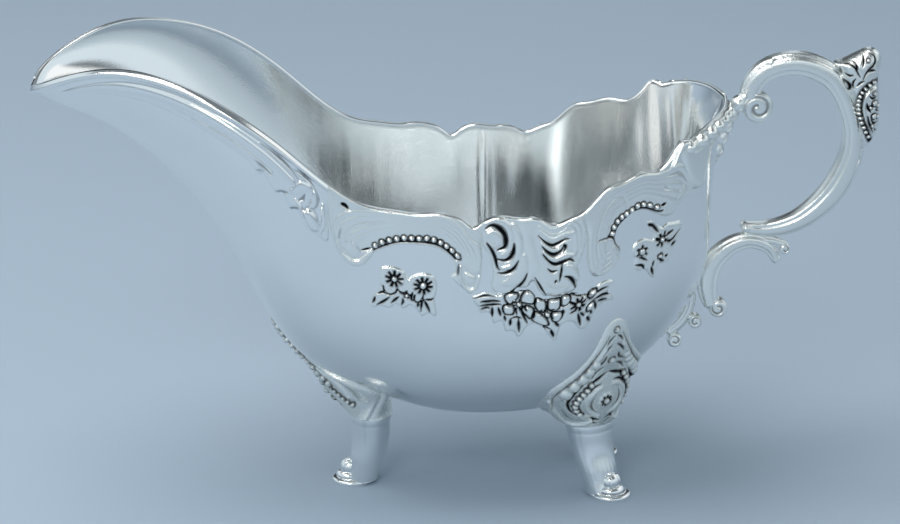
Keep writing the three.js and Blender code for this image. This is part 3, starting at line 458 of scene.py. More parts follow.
class Relief:
    """A chased or cast surface: a height and a patina at each point of a flat grid (a, b)."""

    def __init__(self, low: Pair, high: Pair, step: float = STEP) -> None:
        """Lays out the grid.

        Args:
            low: smallest a and b.
            high: largest a and b.
            step: spacing of the points.
        """
        self.a = np.arange(low[0], high[0] + step / 2, step)
        self.b = np.arange(low[1], high[1] + step / 2, step)
        self.grid_a, self.grid_b = np.meshgrid(self.a, self.b, indexing="ij")
        self.height = np.full(self.grid_a.shape, SUNK)
        self.patina = np.zeros(self.grid_a.shape)
        self.step = step

    def window(self, path: Array, margin: float) -> tuple[slice, slice]:
        """Returns the part of the grid within margin of a path."""
        low, high = path.min(0) - margin, path.max(0) + margin
        ia = np.searchsorted(self.a, [low[0], high[0]])
        ib = np.searchsorted(self.b, [low[1], high[1]])
        return slice(max(ia[0] - 1, 0), ia[1] + 1), slice(max(ib[0] - 1, 0), ib[1] + 1)

    def reach(self, path: Array, margin: float) -> tuple[tuple[slice, slice], Array, Array]:
        """Measures the grid from a path.

        Args:
            path: rows of (a, b).
            margin: how far from the path points matter.

        Returns:
            The window, the distance of its points to the path, and the share of the path nearest each.
        """
        window = self.window(path, margin)
        a, b = self.grid_a[window], self.grid_b[window]
        best, share = np.full(a.shape, 1e9), np.zeros(a.shape)
        steps = np.linalg.norm(np.diff(path, axis=0), axis=1)
        run, total = 0.0, max(float(steps.sum()), 1e-9)
        for (p0, p1), (q0, q1), length in zip(path[:-1], path[1:], steps):
            da, db = q0 - p0, q1 - p1
            t = held(((a - p0) * da + (b - p1) * db) / max(length**2, 1e-12))
            distance = np.hypot(a - p0 - t * da, b - p1 - t * db)
            nearer = distance < best
            best = np.where(nearer, distance, best)
            share = np.where(nearer, (run + t * length) / total, share)
            run += length
        return window, best, share

    def plate(self, outline: Points, level: float, edge: float = 1.0, crown: float = 0.0) -> None:
        """Raises a plate with a rounded edge.

        Args:
            outline: corners of its smooth outline.
            level: its height.
            edge: width of the rounding.
            crown: how much higher it is 4 mm inside its edge.
        """
        path = smooth_line(np.array(outline, float), closed=True, sub=5)
        path = np.vstack([path, path[:1]])
        window, distance, _ = self.reach(path, 1.5)
        a, b = self.grid_a[window], self.grid_b[window]
        inside = np.zeros(a.shape, bool)
        for (p0, p1), (q0, q1) in zip(path[:-1], path[1:]):
            crosses = (p1 > b) != (q1 > b)
            if p1 != q1:
                inside ^= crosses & (a < (q0 - p0) * (b - p1) / (q1 - p1) + p0)
        k = held(distance / edge)
        top = level * np.sqrt(1 - (1 - k) ** 2) + crown * held(distance / 4)
        made = np.where(inside, top, np.maximum(SUNK, -distance * 1.5))
        self.height[window] = np.maximum(self.height[window], made)

    def ridge(self, points: Points, half: float, top: float, foot: float = 0.2,
              taper: Pair = (0.5, 0.5)) -> None:
        """Raises a rounded ridge along a line.

        Args:
            points: the line.
            half: half width in its middle.
            top: height of its crest.
            foot: height of its edges.
            taper: share of the width left at its start and end.
        """
        path = smooth_line(np.array(points, float))
        window, distance, share = self.reach(path, half + 0.4)
        width = half * np.interp(share, [0, 0.3, 0.7, 1], [taper[0], 1, 1, taper[1]])
        k = held(distance / width)
        made = np.where(k < 1, foot + (top - foot) * (1 - k**2) ** 0.5, foot - (distance - width) * 2)
        self.height[window] = np.maximum(self.height[window], made)

    def groove(self, points: Points, half: float, depth: float = 0.5, dark: float = 1.0,
               taper: Pair = (0.35, 0.35), fade: Pair = (1.0, 1.0)) -> None:
        """Cuts a groove along a line and leaves patina in it.

        Args:
            points: the line.
            half: half width in its middle.
            depth: its depth.
            dark: patina at its bottom.
            taper: share of the width left at its start and end.
            fade: share of the depth and patina left at its start and end.
        """
        path = smooth_line(np.array(points, float))
        window, distance, share = self.reach(path, 2.5 * half)
        width = half * np.interp(share, [0, 0.35, 0.65, 1], [taper[0], 1, 1, taper[1]])
        keep = np.interp(share, [0, 0.5, 1], [fade[0], 1, fade[1]])
        k = (distance / width) ** 2
        self.height[window] -= depth * keep * np.exp(-k)
        stain = held(1.5 * np.exp(-1.4 * k)) * dark * keep
        self.patina[window] = np.maximum(self.patina[window], stain)

    def bead(self, centre: Pair, radius: float, top: float, foot: float = 0.3, moat: float = 0.35,
             dark: float = 1.0) -> None:
        """Sets a bead in a dark moat.

        Args:
            centre: its place.
            radius: its radius.
            top: its height.
            foot: height of its edge.
            moat: depth of the moat.
            dark: patina in the moat.
        """
        window = self.window(np.array([centre], float), radius + 1.0)
        r = np.hypot(self.grid_a[window] - centre[0], self.grid_b[window] - centre[1])
        ring = bell(r - radius * 1.12, 0.26)
        height = self.height[window] - moat * ring
        dome = foot + (top - foot) * np.sqrt(held(1 - (r / radius) ** 2))
        self.height[window] = np.where(r < radius, np.maximum(height, dome), height)
        self.patina[window] = np.where(r < 0.85 * radius, 0, np.maximum(self.patina[window], dark * ring))

    def flower(self, centre: Pair, radius: float, petals: int, top: float, heart: float = 0.85,
               turn: float = 0.0, dark: float = 1.0) -> None:
        """Raises an open flower with dark lines between its petals and a bead in its middle.

        Args:
            centre: its place.
            radius: reach of its petals.
            petals: how many.
            top: height of its petals.
            heart: radius of the bead.
            turn: direction of the first petal, in radians.
            dark: patina between the petals.
        """
        window = self.window(np.array([centre], float), radius + 1)
        da, db = self.grid_a[window] - centre[0], self.grid_b[window] - centre[1]
        r = np.hypot(da, db)
        cycle = math.tau / petals
        between = np.mod(np.arctan2(db, da) - turn, cycle) - cycle / 2
        lobe = np.abs(np.sin(between / cycle * math.pi)) ** 0.5
        edge = radius * (0.8 + 0.2 * lobe)
        k = held(r / edge)
        petal = top * (0.72 + 0.28 * lobe) * np.sqrt(1 - k**4) * (0.8 + 0.2 * k)
        height = np.where(k < 1, np.maximum(self.height[window], petal), self.height[window])
        line = bell(r * np.sin(between), 0.4) * (r > heart) * held((edge * 0.95 - r) / 0.5)
        line = np.where(np.cos(between) > 0, line, 0)
        self.height[window] = height - 0.45 * line
        self.patina[window] = np.maximum(self.patina[window] * (k >= 1), dark * held(1.3 * line))
        self.bead(centre, heart, top + 0.25, foot=0.6, moat=0.4, dark=dark)

    def reeds(self, outer: Points, inner: Points, count: int, half: float, rise: float, level: float,
              quiet: float = 0.5) -> None:
        """Raises fine lines side by side between two guide lines.

        Args:
            outer: the first guide.
            inner: the last guide, which follows it point by point.
            count: how many lines.
            half: half width of each.
            rise: how much they stand above the level at their ends.
            level: the level.
            quiet: share of the rise left in the middle of the run.
        """
        first, last = np.array(outer, float), np.array(inner, float)
        rows = min(len(first), len(last))
        for k in range(count):
            share = k / max(count - 1, 1)
            path = smooth_line(first[:rows] * (1 - share) + last[:rows] * share)
            window, distance, along = self.reach(path, half + 0.3)
            lift = rise * np.interp(along, [0, 0.3, 0.7, 1], [1, quiet, quiet, 1])
            inside = held(1 - (distance / half) ** 2)
            made = level + lift * inside**0.7
            here = self.height[window]
            self.height[window] = np.where((distance < half) & (here > 0.3), np.maximum(here, made), here)

    def petal(self, loop: Points, top: float, half: float = 0.28, closed: bool = True) -> None:
        """Raises a petal with a dark outline.

        Args:
            loop: its outline.
            top: its height.
            half: half width of the dark line.
            closed: whether the dark line closes.
        """
        self.plate(loop, top, edge=0.9)
        path = smooth_line(np.array(loop, float), closed=closed)
        self.groove([tuple(p) for p in (np.vstack([path, path[:1]]) if closed else path)], half, 0.5, 1.0, taper=(1, 1))

    def finished(self, gain: float = 1.0) -> "Relief":
        """Softens the surface a little and lets patina gather in its hollows.

        Args:
            gain: how strongly it gathers.

        Returns:
            The relief itself.
        """
        self.height = np.maximum(blurred(self.height, 0.55), SUNK)
        hollow = blurred(self.height, 0.6 / self.step) - self.height
        self.patina = held(np.maximum(blurred(self.patina, 0.5), gain * (hollow * 1.6 - 0.12)))
        return self

    @classmethod
    def carved(cls, low: Pair, high: Pair, step: float, draw: Callable[["Relief"], None],
               soft: Pair) -> "Relief":
        """Draws a relief that starts level with the metal, to be laid on a form.

        Args:
            low: smallest a and b.
            high: largest a and b.
            step: spacing of the points.
            draw: draws it.
            soft: how much its height and its patina are softened, in steps.

        Returns:
            The relief.
        """
        made = cls(low, high, step)
        made.height[:] = 0
        draw(made)
        made.height, made.patina = blurred(made.height, soft[0]), blurred(made.patina, soft[1])
        return made

    def at(self, a: Array, b: Array) -> tuple[Array, Array]:
        """Returns the height and the patina at places between the grid's points."""
        i = np.clip((a - self.a[0]) / self.step, 0, len(self.a) - 2)
        j = np.clip((b - self.b[0]) / self.step, 0, len(self.b) - 2)
        i0, j0 = i.astype(int), j.astype(int)
        p, q = i - i0, j - j0
        height, patina = ((v[i0, j0] * (1 - p) + v[i0 + 1, j0] * p) * (1 - q)
                          + (v[i0, j0 + 1] * (1 - p) + v[i0 + 1, j0 + 1] * p) * q for v in (self.height, self.patina))
        return height, patina

    def skin(self, place: Placer) -> Skin:
        """Makes the closed shell of what stands above the metal below.

        Args:
            place: turns a, b and height into points.

        Returns:
            The shell.
        """
        corner = self.height > SUNK + 0.08
        keep = corner[:-1, :-1] | corner[1:, :-1] | corner[:-1, 1:] | corner[1:, 1:]
        for _ in range(4):
            one = keep[:-1, :-1] & keep[1:, 1:] & ~keep[1:, :-1] & ~keep[:-1, 1:]
            two = ~keep[:-1, :-1] & ~keep[1:, 1:] & keep[1:, :-1] & keep[:-1, 1:]
            keep[1:, :-1] |= one
            keep[:-1, :-1] |= two
        made = Skin()
        front = made.add(place(self.grid_a, self.grid_b, self.height), self.patina)
        back = made.add(place(self.grid_a, self.grid_b, np.full(self.height.shape, BACKING)))
        made.sheet(front, keep=keep)
        made.sheet(back, keep=keep, flip=True)
        wide = np.pad(keep, 1)
        core = wide[1:-1, 1:-1]
        for da, db, first, second in ((-1, 0, (0, 1), (0, 0)), (1, 0, (1, 0), (1, 1)), (0, -1, (0, 0), (1, 0)),
                                      (0, 1, (1, 1), (0, 1))):
            open_side = core & ~wide[1 + da:wide.shape[0] - 1 + da, 1 + db:wide.shape[1] - 1 + db]
            i, j = np.nonzero(open_side)
            p = (i + first[0], j + first[1])
            q = (i + second[0], j + second[1])
            made.faces.append(np.stack([front[p], front[q], back[q], back[p]], -1)[:, ::-1])
        return made.compact().closed()


# Finishes


PATINA_COLOUR = (0.010, 0.012, 0.014)


class Nodes:
    """A node tree with the few kinds of node that the finishes and the room are made of."""

    def __init__(self, tree: bpy.types.NodeTree) -> None:
        """Empties the tree."""
        tree.nodes.clear()
        self.add, self.link = tree.nodes.new, tree.links.new

    def noise(self, place: Socket, scale: float, detail: float) -> Socket:
        """Returns a noise of that many cycles per metre."""
        node = self.add("ShaderNodeTexNoise")
        node.inputs["Scale"].default_value, node.inputs["Detail"].default_value = scale, detail
        self.link(place, node.inputs["Vector"])
        return node.outputs["Fac"]

    def ranged(self, value: Socket, low: float, high: float, to_low: float = 0, to_high: float = 1) -> Socket:
        """Returns a value carried from one range to another, and held inside it."""
        node = self.add("ShaderNodeMapRange")
        for name, number in zip(("From Min", "From Max", "To Min", "To Max"), (low, high, to_low, to_high)):
            node.inputs[name].default_value = number
        self.link(value, node.inputs["Value"])
        return node.outputs[0]

    def worked(self, kind: str, first: Socket, second: Socket, clamp: bool = False) -> Socket:
        """Returns the sum or the product of two values, held between 0 and 1 if clamp is set."""
        node = self.add("ShaderNodeMath")
        node.operation, node.use_clamp = kind, clamp
        self.link(first, node.inputs[0])
        self.link(second, node.inputs[1])
        return node.outputs[0]

    def mixed(self, share: Socket, first: "Socket | Triple", second: Triple) -> Socket:
        """Returns a colour mixed with a second one by a share."""
        node = self.add("ShaderNodeMix")
        node.data_type = "RGBA"
        self.link(share, node.inputs[0])
        if isinstance(first, Socket):
            self.link(first, node.inputs[6])
        else:
            node.inputs[6].default_value = (*first, 1)
        node.inputs[7].default_value = (*second, 1)
        return node.outputs[2]


@dataclass(frozen=True)
class Plating:
    """Silver plate, bright where it is rubbed and black where patina is left in its hollows.

    colour and shade alternate in soft clouds. gloss is the roughness of the bright metal and dull what patina
    adds to it; wave and grain are the strengths of its long and its fine unevenness.
    """

    name: str
    colour: Triple
    shade: Triple
    gloss: float
    dull: float
    wave: float
    grain: float

    def material(self) -> bpy.types.Material:
        """Builds the material, or returns it if it is there already."""
        made = bpy.data.materials.get(self.name)
        if made:
            return made
        made = bpy.data.materials.new(self.name)
        made.use_nodes = True
        nodes = Nodes(made.node_tree)
        out, bsdf, place, stain, waves, grain = (nodes.add(f"ShaderNode{kind}") for kind in (
            "OutputMaterial", "BsdfPrincipled", "TexCoord", "Attribute", "Bump", "Bump"))
        nodes.link(bsdf.outputs[0], out.inputs[0])
        bsdf.inputs["Metallic"].default_value = 1
        stain.attribute_name = "patina"
        noise = partial(nodes.noise, place.outputs["Object"])
        tinted = nodes.mixed(nodes.ranged(noise(35, 3), 0.35, 0.65), self.colour, self.shade)
        blotch = nodes.ranged(noise(420, 2), 0.3, 0.7, 0.85, 1.15)
        dark = nodes.ranged(nodes.worked("MULTIPLY", stain.outputs["Fac"], blotch), 0.05, 0.85)
        nodes.link(nodes.mixed(dark, tinted, PATINA_COLOUR), bsdf.inputs["Base Color"])
        rough = nodes.ranged(noise(150, 4), 0.3, 0.7, self.gloss * 0.8, self.gloss * 1.25)
        dulled = nodes.worked("ADD", rough, nodes.ranged(dark, 0, 1, 0, self.dull), clamp=True)
        nodes.link(dulled, bsdf.inputs["Roughness"])
        for bump, depth, strength, height in ((waves, 0.001, self.wave, noise(55, 1)),
                                              (grain, 0.0001, self.grain, noise(2600, 3))):
            bump.inputs["Distance"].default_value, bump.inputs["Strength"].default_value = depth, strength
            nodes.link(height, bump.inputs["Height"])
        nodes.link(waves.outputs[0], grain.inputs["Normal"])
        nodes.link(grain.outputs[0], bsdf.inputs["Normal"])
        return made


BODY_SILVER = Plating("body_silver", (0.945, 0.95, 0.935), (0.915, 0.92, 0.91), 0.055, 0.35, 0.06, 0.25)
CAST_SILVER = Plating("cast_silver", (0.96, 0.965, 0.925), (0.9, 0.905, 0.87), 0.2, 0.4, 0.04, 0.8)
FOOT_SILVER = Plating("foot_silver", (0.96, 0.96, 0.90), (0.88, 0.88, 0.83), 0.27, 0.4, 0.05, 1.0)


def dress(skin: Skin, name: str, finish: Plating, slot: Slot) -> bpy.types.Object:
    """Makes a piece from its skin, in place of the node of its name.

    Args:
        skin: its surface.
        name: the node that it replaces; the piece is named after it.
        finish: what it is made of.
        slot: not used.

    Returns:
        The object.
    """
    piece = skin.build(f"{name}_cast")
    piece.data.materials.append(finish.material())
    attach(piece, "root")
    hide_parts(name)
    LOG.info("%s: %d points", piece.name, len(piece.data.vertices))
    return piece


def dress_side(side: Side, skin: Skin, name: str, finish: Plating, slot: Slot) -> None:
    """Makes the piece of one side from the skin of the left one, as dress does."""
    dress(skin if side is Side.LEFT else skin.mirrored(), f"{side.name.lower()}_{name}", finish, slot)


# Bowl


@dataclass
class Bowl:
    """The raised hull with its rolled lip and the soft folds that the castings press into its inside."""

    columns: int = 420
    rows: int = 90
    lip_steps: int = 6
    fold: float = 0.0072
    fold_pitches: Pair = (7.5, 4.3)
    fold_run: Pair = (-62.0, 78.0)
    fold_start: float = 0.45
    lively_from: float = 46.0
    lively: float = 5.0
    crease_at: float = -0.6
    crease: float = 0.2

    def skin(self) -> Skin:
        """Builds the closed hull."""
        inner = Hull(inset_stations(WALL), SCALLOPS)
        share = np.linspace(0, 1, self.columns + 1)
        outer_u = HULL.first + (HULL.last - HULL.first) * share
        inner_u = np.where(outer_u < 0, outer_u * inner.first / HULL.first, outer_u * inner.last / HULL.last)
        t = np.linspace(-1, 1, 2 * self.rows + 1)
        outside = HULL.point(outer_u[:, None], t[None, :])
        inside = inner.point(inner_u[:, None], t[None, :])
        inside += self.folds(inner_u, t)[..., None] * inner.normal(inner_u[:, None], t[None, :])
        lips = [self.lip(outside[:, k], inside[:, k]) for k in (-1, 0)]
        ring = np.concatenate([outside, lips[0], inside[:, ::-1], lips[1][:, ::-1]], 1)
        made = Skin()
        made.sheet(made.add(ring), loop=True)
        return made.closed()

    def folds(self, u: Array, t: Array) -> Array:
        """Returns how far the inside swells at each (u, t)."""
        up = np.abs(t)[None, :]
        near_rim = held((up - self.fold_start) / 0.4) * held((1 - up) / 0.06)
        along = held((u - self.fold_run[0]) / 10) * held((self.fold_run[1] - u) / 10)
        first, second = (math.tau / pitch for pitch in self.fold_pitches)
        wave = np.cos(u * first) + 0.6 * np.cos(u * second + 1.3)
        lively = 1 + self.lively * held((u - self.lively_from) / 8)
        crease = self.crease * bell(u - self.crease_at, 1.5)
        return (self.fold * wave * along * lively + crease)[:, None] * near_rim

    def lip(self, outside: Array, inside: Array) -> Array:
        """Returns the rounded edge between the two rims, without its ends."""
        angle = (np.arange(1, self.lip_steps) / self.lip_steps * math.pi)[None, :, None]
        middle = (outside + inside)[:, None] / 2
        half = (outside - inside)[:, None] / 2
        return middle + half * np.cos(angle) + np.array([0, 0, LIP_RISE]) * np.sin(angle)

    def build(self) -> None:
        """Makes the bowl's object, with the points welded at its two tips."""
        weld(dress(self.skin(), "bowl", BODY_SILVER, Slot.SILVER))


def weld(piece: bpy.types.Object, distance: float = 1e-6) -> None:
    """Joins points that coincide, and drops the faces that vanish by it."""
    mesh = bmesh.new()
    mesh.from_mesh(piece.data)
    bmesh.ops.remove_doubles(mesh, verts=mesh.verts, dist=distance)
    bmesh.ops.dissolve_degenerate(mesh, dist=distance, edges=mesh.edges)
    mesh.to_mesh(piece.data)
    mesh.free()


# Castings on the bowl


@dataclass
class Casting:
    """A casting soldered on both sides of the bowl, drawn on the left side and mirrored."""

    name: str
    low: Pair
    high: Pair
    finish: Plating
    slot: Slot
    draw: Callable[[Relief], None]
    gain: float = 1.0

    def build(self) -> None:
        """Makes the left and the right casting."""
        relief = Relief(self.low, self.high)
        self.draw(relief)
        skin = relief.finished(self.gain).skin(HULL.over_rim)
        for side in Side:
            dress_side(side, skin, self.name, self.finish, self.slot)


def draw_spout_border(r: Relief) -> None:
    """Draws the mouldings along the spout, the scroll at their end and its three leaf tips."""
    r.plate([(-153.5, -1.2), (-153.5, 1.5), (-142, 4.2), (-130, 6), (-118, 7.2), (-108, 8), (-100, 8.8), (-90, 9.6),
             (-80, 10.2), (-77.5, 11), (-75.6, 12), (-74, 10.9), (-72.3, 12.4), (-70, 13.9), (-67.3, 12.4),
             (-65.2, 15.3), (-62.4, 14), (-60, 16.7), (-56, 16.5), (-51.7, 15.6), (-51.6, 8), (-51.6, -1.2),
             (-70, -1.2), (-100, -1.2), (-130, -1.2)], 0.75, edge=1.8)
    r.ridge([(-153, 0.6), (-130, 0.7), (-100, 0.7), (-75, 0.8), (-60, 0.7), (-52, 0.6)], 0.95, 1.7, 0.5, (0.7, 1))
    r.ridge([(-140, 3.4), (-120, 4.2), (-100, 4.4), (-85, 4.7), (-72, 5.4), (-64, 6.6)], 1.5, 1.15, 0.5, (0.2, 0.8))
    r.ridge([(-96, 7.3), (-85, 7.6), (-77, 8), (-71, 8.6)], 1.0, 1.0, 0.5, (0.1, 0.8))
    r.groove([(-125, 2.1), (-100, 2.2), (-85, 2.2), (-75, 2.4)], 0.7, 0.35, 0.16, fade=(0, 1))
    r.groove([(-76, 2.4), (-70, 2.7), (-66, 3.1), (-63, 3.9), (-60.6, 4.9)], 0.6, 0.5, 0.62, fade=(0.1, 0.2))
    r.groove([(-64, 3.1), (-62.2, 2.5), (-60.2, 2.2), (-57.6, 2.5), (-55.8, 3.5)], 0.6, 0.5, 0.6, fade=(0.1, 0.5))
    r.groove([(-55.8, 3.6), (-55, 5.4), (-55.4, 7.4), (-56.6, 9.2)], 0.5, 0.4, 0.3)
    r.groove([(-108, 6.7), (-98, 6.9), (-90, 7)], 0.6, 0.2, 0.1, fade=(0.1, 0.1))
    r.groove([(-77.5, 8.6), (-74, 8.6), (-71.2, 9.4)], 0.45, 0.5, 0.5, fade=(0.2, 1))
    r.groove([(-76.4, 11.4), (-74.6, 10.3), (-73.4, 9.9)], 0.35, 0.3, 0.35)
    r.groove([(-69.8, 13.3), (-67.6, 11.9), (-65.6, 10.7)], 0.4, 0.4, 0.5)
    r.groove([(-65.1, 15), (-63, 13.6), (-61.7, 12.6)], 0.4, 0.4, 0.5)
    r.groove([(-61.8, 10.4), (-60.4, 8.9), (-59.6, 7.2)], 0.45, 0.45, 0.5)
    r.ridge([(-64.6, 9.8), (-62.6, 8), (-60.6, 5.6), (-58.2, 4.4)], 1.2, 1.15, 0.7, (0.5, 0.7))
    r.ridge([(-62.8, 11), (-61.4, 12), (-60, 13.2)], 0.9, 1.6, 0.6)
    r.ridge([(-58, 9.6), (-56.4, 7.4), (-56.2, 4.6)], 1.1, 1.3, 0.7)
    r.ridge([(-54.4, 14.6), (-53.2, 11), (-53.4, 6)], 0.8, 1.35, 0.7)
    r.bead((-57.3, 13), 2.7, 1.75, 0.7, moat=0.15, dark=0.12)
    r.groove([(-60.2, 14.4), (-59.6, 11.6), (-57.4, 9.8), (-55, 10.4)], 0.35, 0.3, 0.3)


FRONT_BEADS = [(-37, 10), (-35.1, 8.7), (-33.1, 7.85), (-31.1, 7.15), (-29.1, 6.6), (-27.1, 6.4), (-25.1, 6.35),
               (-23.1, 6.4), (-21.2, 6.9), (-19.4, 7.6), (-17.8, 8.3), (-16.3, 9.1), (-14.9, 10)]


def draw_front_cartouche(r: Relief) -> None:
    """Draws the long C scroll with its row of beads and a lobe at each end."""
    r.plate([(-51.3, -1.2), (-51.4, 8), (-50.6, 12.6), (-49, 15.6), (-46.4, 17.4), (-43.4, 17.8), (-40.6, 16.8),
             (-38.6, 14.6), (-37, 12.1), (-33.4, 10), (-29.5, 8.7), (-24.9, 8.4), (-21.1, 9.3), (-18, 10.6),
             (-16, 12.3), (-15.4, 15), (-16.6, 17), (-15, 18.4), (-11.5, 19), (-9, 17), (-8.3, 13), (-8.4, 5),
             (-8.6, -1.2), (-20, -1.2), (-36, -1.2)], 0.95, edge=1.5)
    r.reeds([(-49.4, 15.4), (-49.8, 11), (-48, 6.6), (-44, 3), (-38, 1), (-30, 0.5), (-22, 0.5), (-15, 1.4),
             (-10.2, 4.4), (-9.2, 8.8), (-9.4, 12)],
            [(-43, 11.8), (-42.4, 9.8), (-39.6, 7.2), (-36, 5.4), (-32, 4.2), (-28, 3.7), (-24, 3.7), (-19.6, 4.6),
             (-16, 6.2), (-13.4, 8.4), (-12.8, 11)], 5, 0.7, 0.42, 0.95, quiet=0.35)
    r.ridge([(-48.4, 13.6), (-47.4, 16), (-44.4, 17), (-41.4, 16), (-39.4, 13.6), (-38, 11.8)], 0.95, 1.5, 0.8)
    r.bead((-43.6, 13.2), 2.3, 1.45, 0.8, moat=0.12, dark=0.08)
    r.ridge([(-14, 12.4), (-14.2, 15.4), (-12.4, 17.5), (-10, 16.8), (-9.2, 14)], 0.75, 1.5, 0.8)
    r.bead((-11.6, 14.2), 1.7, 1.55, 0.8, moat=0.12, dark=0.1)
    for line, dark in (
            ([(-46.2, 13), (-45.6, 9.6), (-43.2, 6.1), (-39.6, 3.8), (-34, 2.3)], 0.10),
            ([(-49.8, 4.5), (-50.2, 9), (-49, 13.4)], 0.12), ([(-47.2, 8.5), (-48.3, 12.5)], 0.3),
            ([(-51, 15.3), (-49.6, 16)], 0.2), ([(-16.4, 17), (-18, 17.2)], 0.25)):
        r.groove(line, 0.4, 0.18, dark)
    r.groove([(-46.9, 2.1), (-45.9, 1.9), (-44.7, 2.4)], 0.62, 0.7, 1.0, taper=(0.7, 0.3))
    r.groove([(-37.3, 11.2), (-33.3, 9), (-29.3, 7.6), (-25, 7.35), (-21, 8.1), (-17.6, 9.6), (-15.4, 11.1)], 0.36,
             0.6, 1.0, taper=(0.9, 0.9))
    r.groove([(-41.1, 12.4), (-39.6, 11.6), (-38.1, 10.8)], 0.32, 0.45, 0.9)
    r.groove([(-14.5, 12), (-14.6, 13.6), (-14.9, 15.5)], 0.36, 0.45, 0.85)
    for place in FRONT_BEADS:
        r.bead(place, 0.8, 1.75, moat=0.3)


def draw_front_spray(r: Relief) -> None:
    """Draws the two open flowers and the leaves under the front scroll."""
    r.plate([(-35.5, 16.4), (-33.6, 15.6), (-31.5, 15.6), (-29.2, 16.4), (-28, 18.4), (-26.8, 17.3), (-24.4, 16.5),
             (-21.6, 17.3), (-20.4, 19.5), (-20.3, 22), (-20.9, 24.2), (-20.6, 26.6), (-20.5, 30), (-22.6, 28.9),
             (-24.3, 30), (-25.6, 27.8), (-27.3, 26.5), (-29.4, 27.9), (-31.2, 26.8), (-33, 28.4), (-35.2, 28.3),
             (-38, 29.2), (-38.5, 27.2), (-37, 24.6), (-35.6, 22.4), (-36, 20.4), (-36, 18)], 0.6, edge=0.8, crown=0.2)
    r.flower((-31.75, 19), 3.3, 9, 1.05, heart=0.8, turn=0.2)
    r.flower((-24, 20.2), 3.4, 10, 1.05, heart=0.9, turn=0.5)
    r.petal([(-34.8, 21.6), (-34.4, 23.2), (-33, 23.9), (-31.6, 23.2), (-30.9, 21.9)], 0.95, closed=False)
    r.flower((-28.4, 23.5), 1.5, 5, 1.0, heart=0.5, turn=0.4)
    r.petal([(-26.2, 23), (-26.4, 24.6), (-25.4, 25.3), (-24.3, 24.6)], 0.9, closed=False)
    for line in (
            [(-32.9, 24.6), (-34.6, 26.3), (-36.5, 27.9)], [(-37, 25.4), (-37.3, 26.5), (-37.7, 27.5)],
            [(-30.5, 24.1), (-31.6, 25.4), (-32.6, 26.6)], [(-29.5, 24.4), (-29.4, 25.5), (-29.8, 26.7)],
            [(-36.4, 24.4), (-34.8, 23.5), (-33.4, 24.1)], [(-30.9, 22), (-29.4, 23), (-28.2, 21.9)],
            [(-23.8, 22.4), (-24.3, 25), (-24.6, 28.2)], [(-23.8, 24.4), (-22.9, 26.4), (-22.1, 28.6)],
            [(-25.2, 25.4), (-25.5, 26.8)], [(-26.8, 22.1), (-27.2, 24.2), (-26.6, 25.1)],
            [(-23.4, 24.3), (-22, 24.6), (-21.1, 24.1)]):
        r.groove(line, 0.38, 0.5, 1.0)


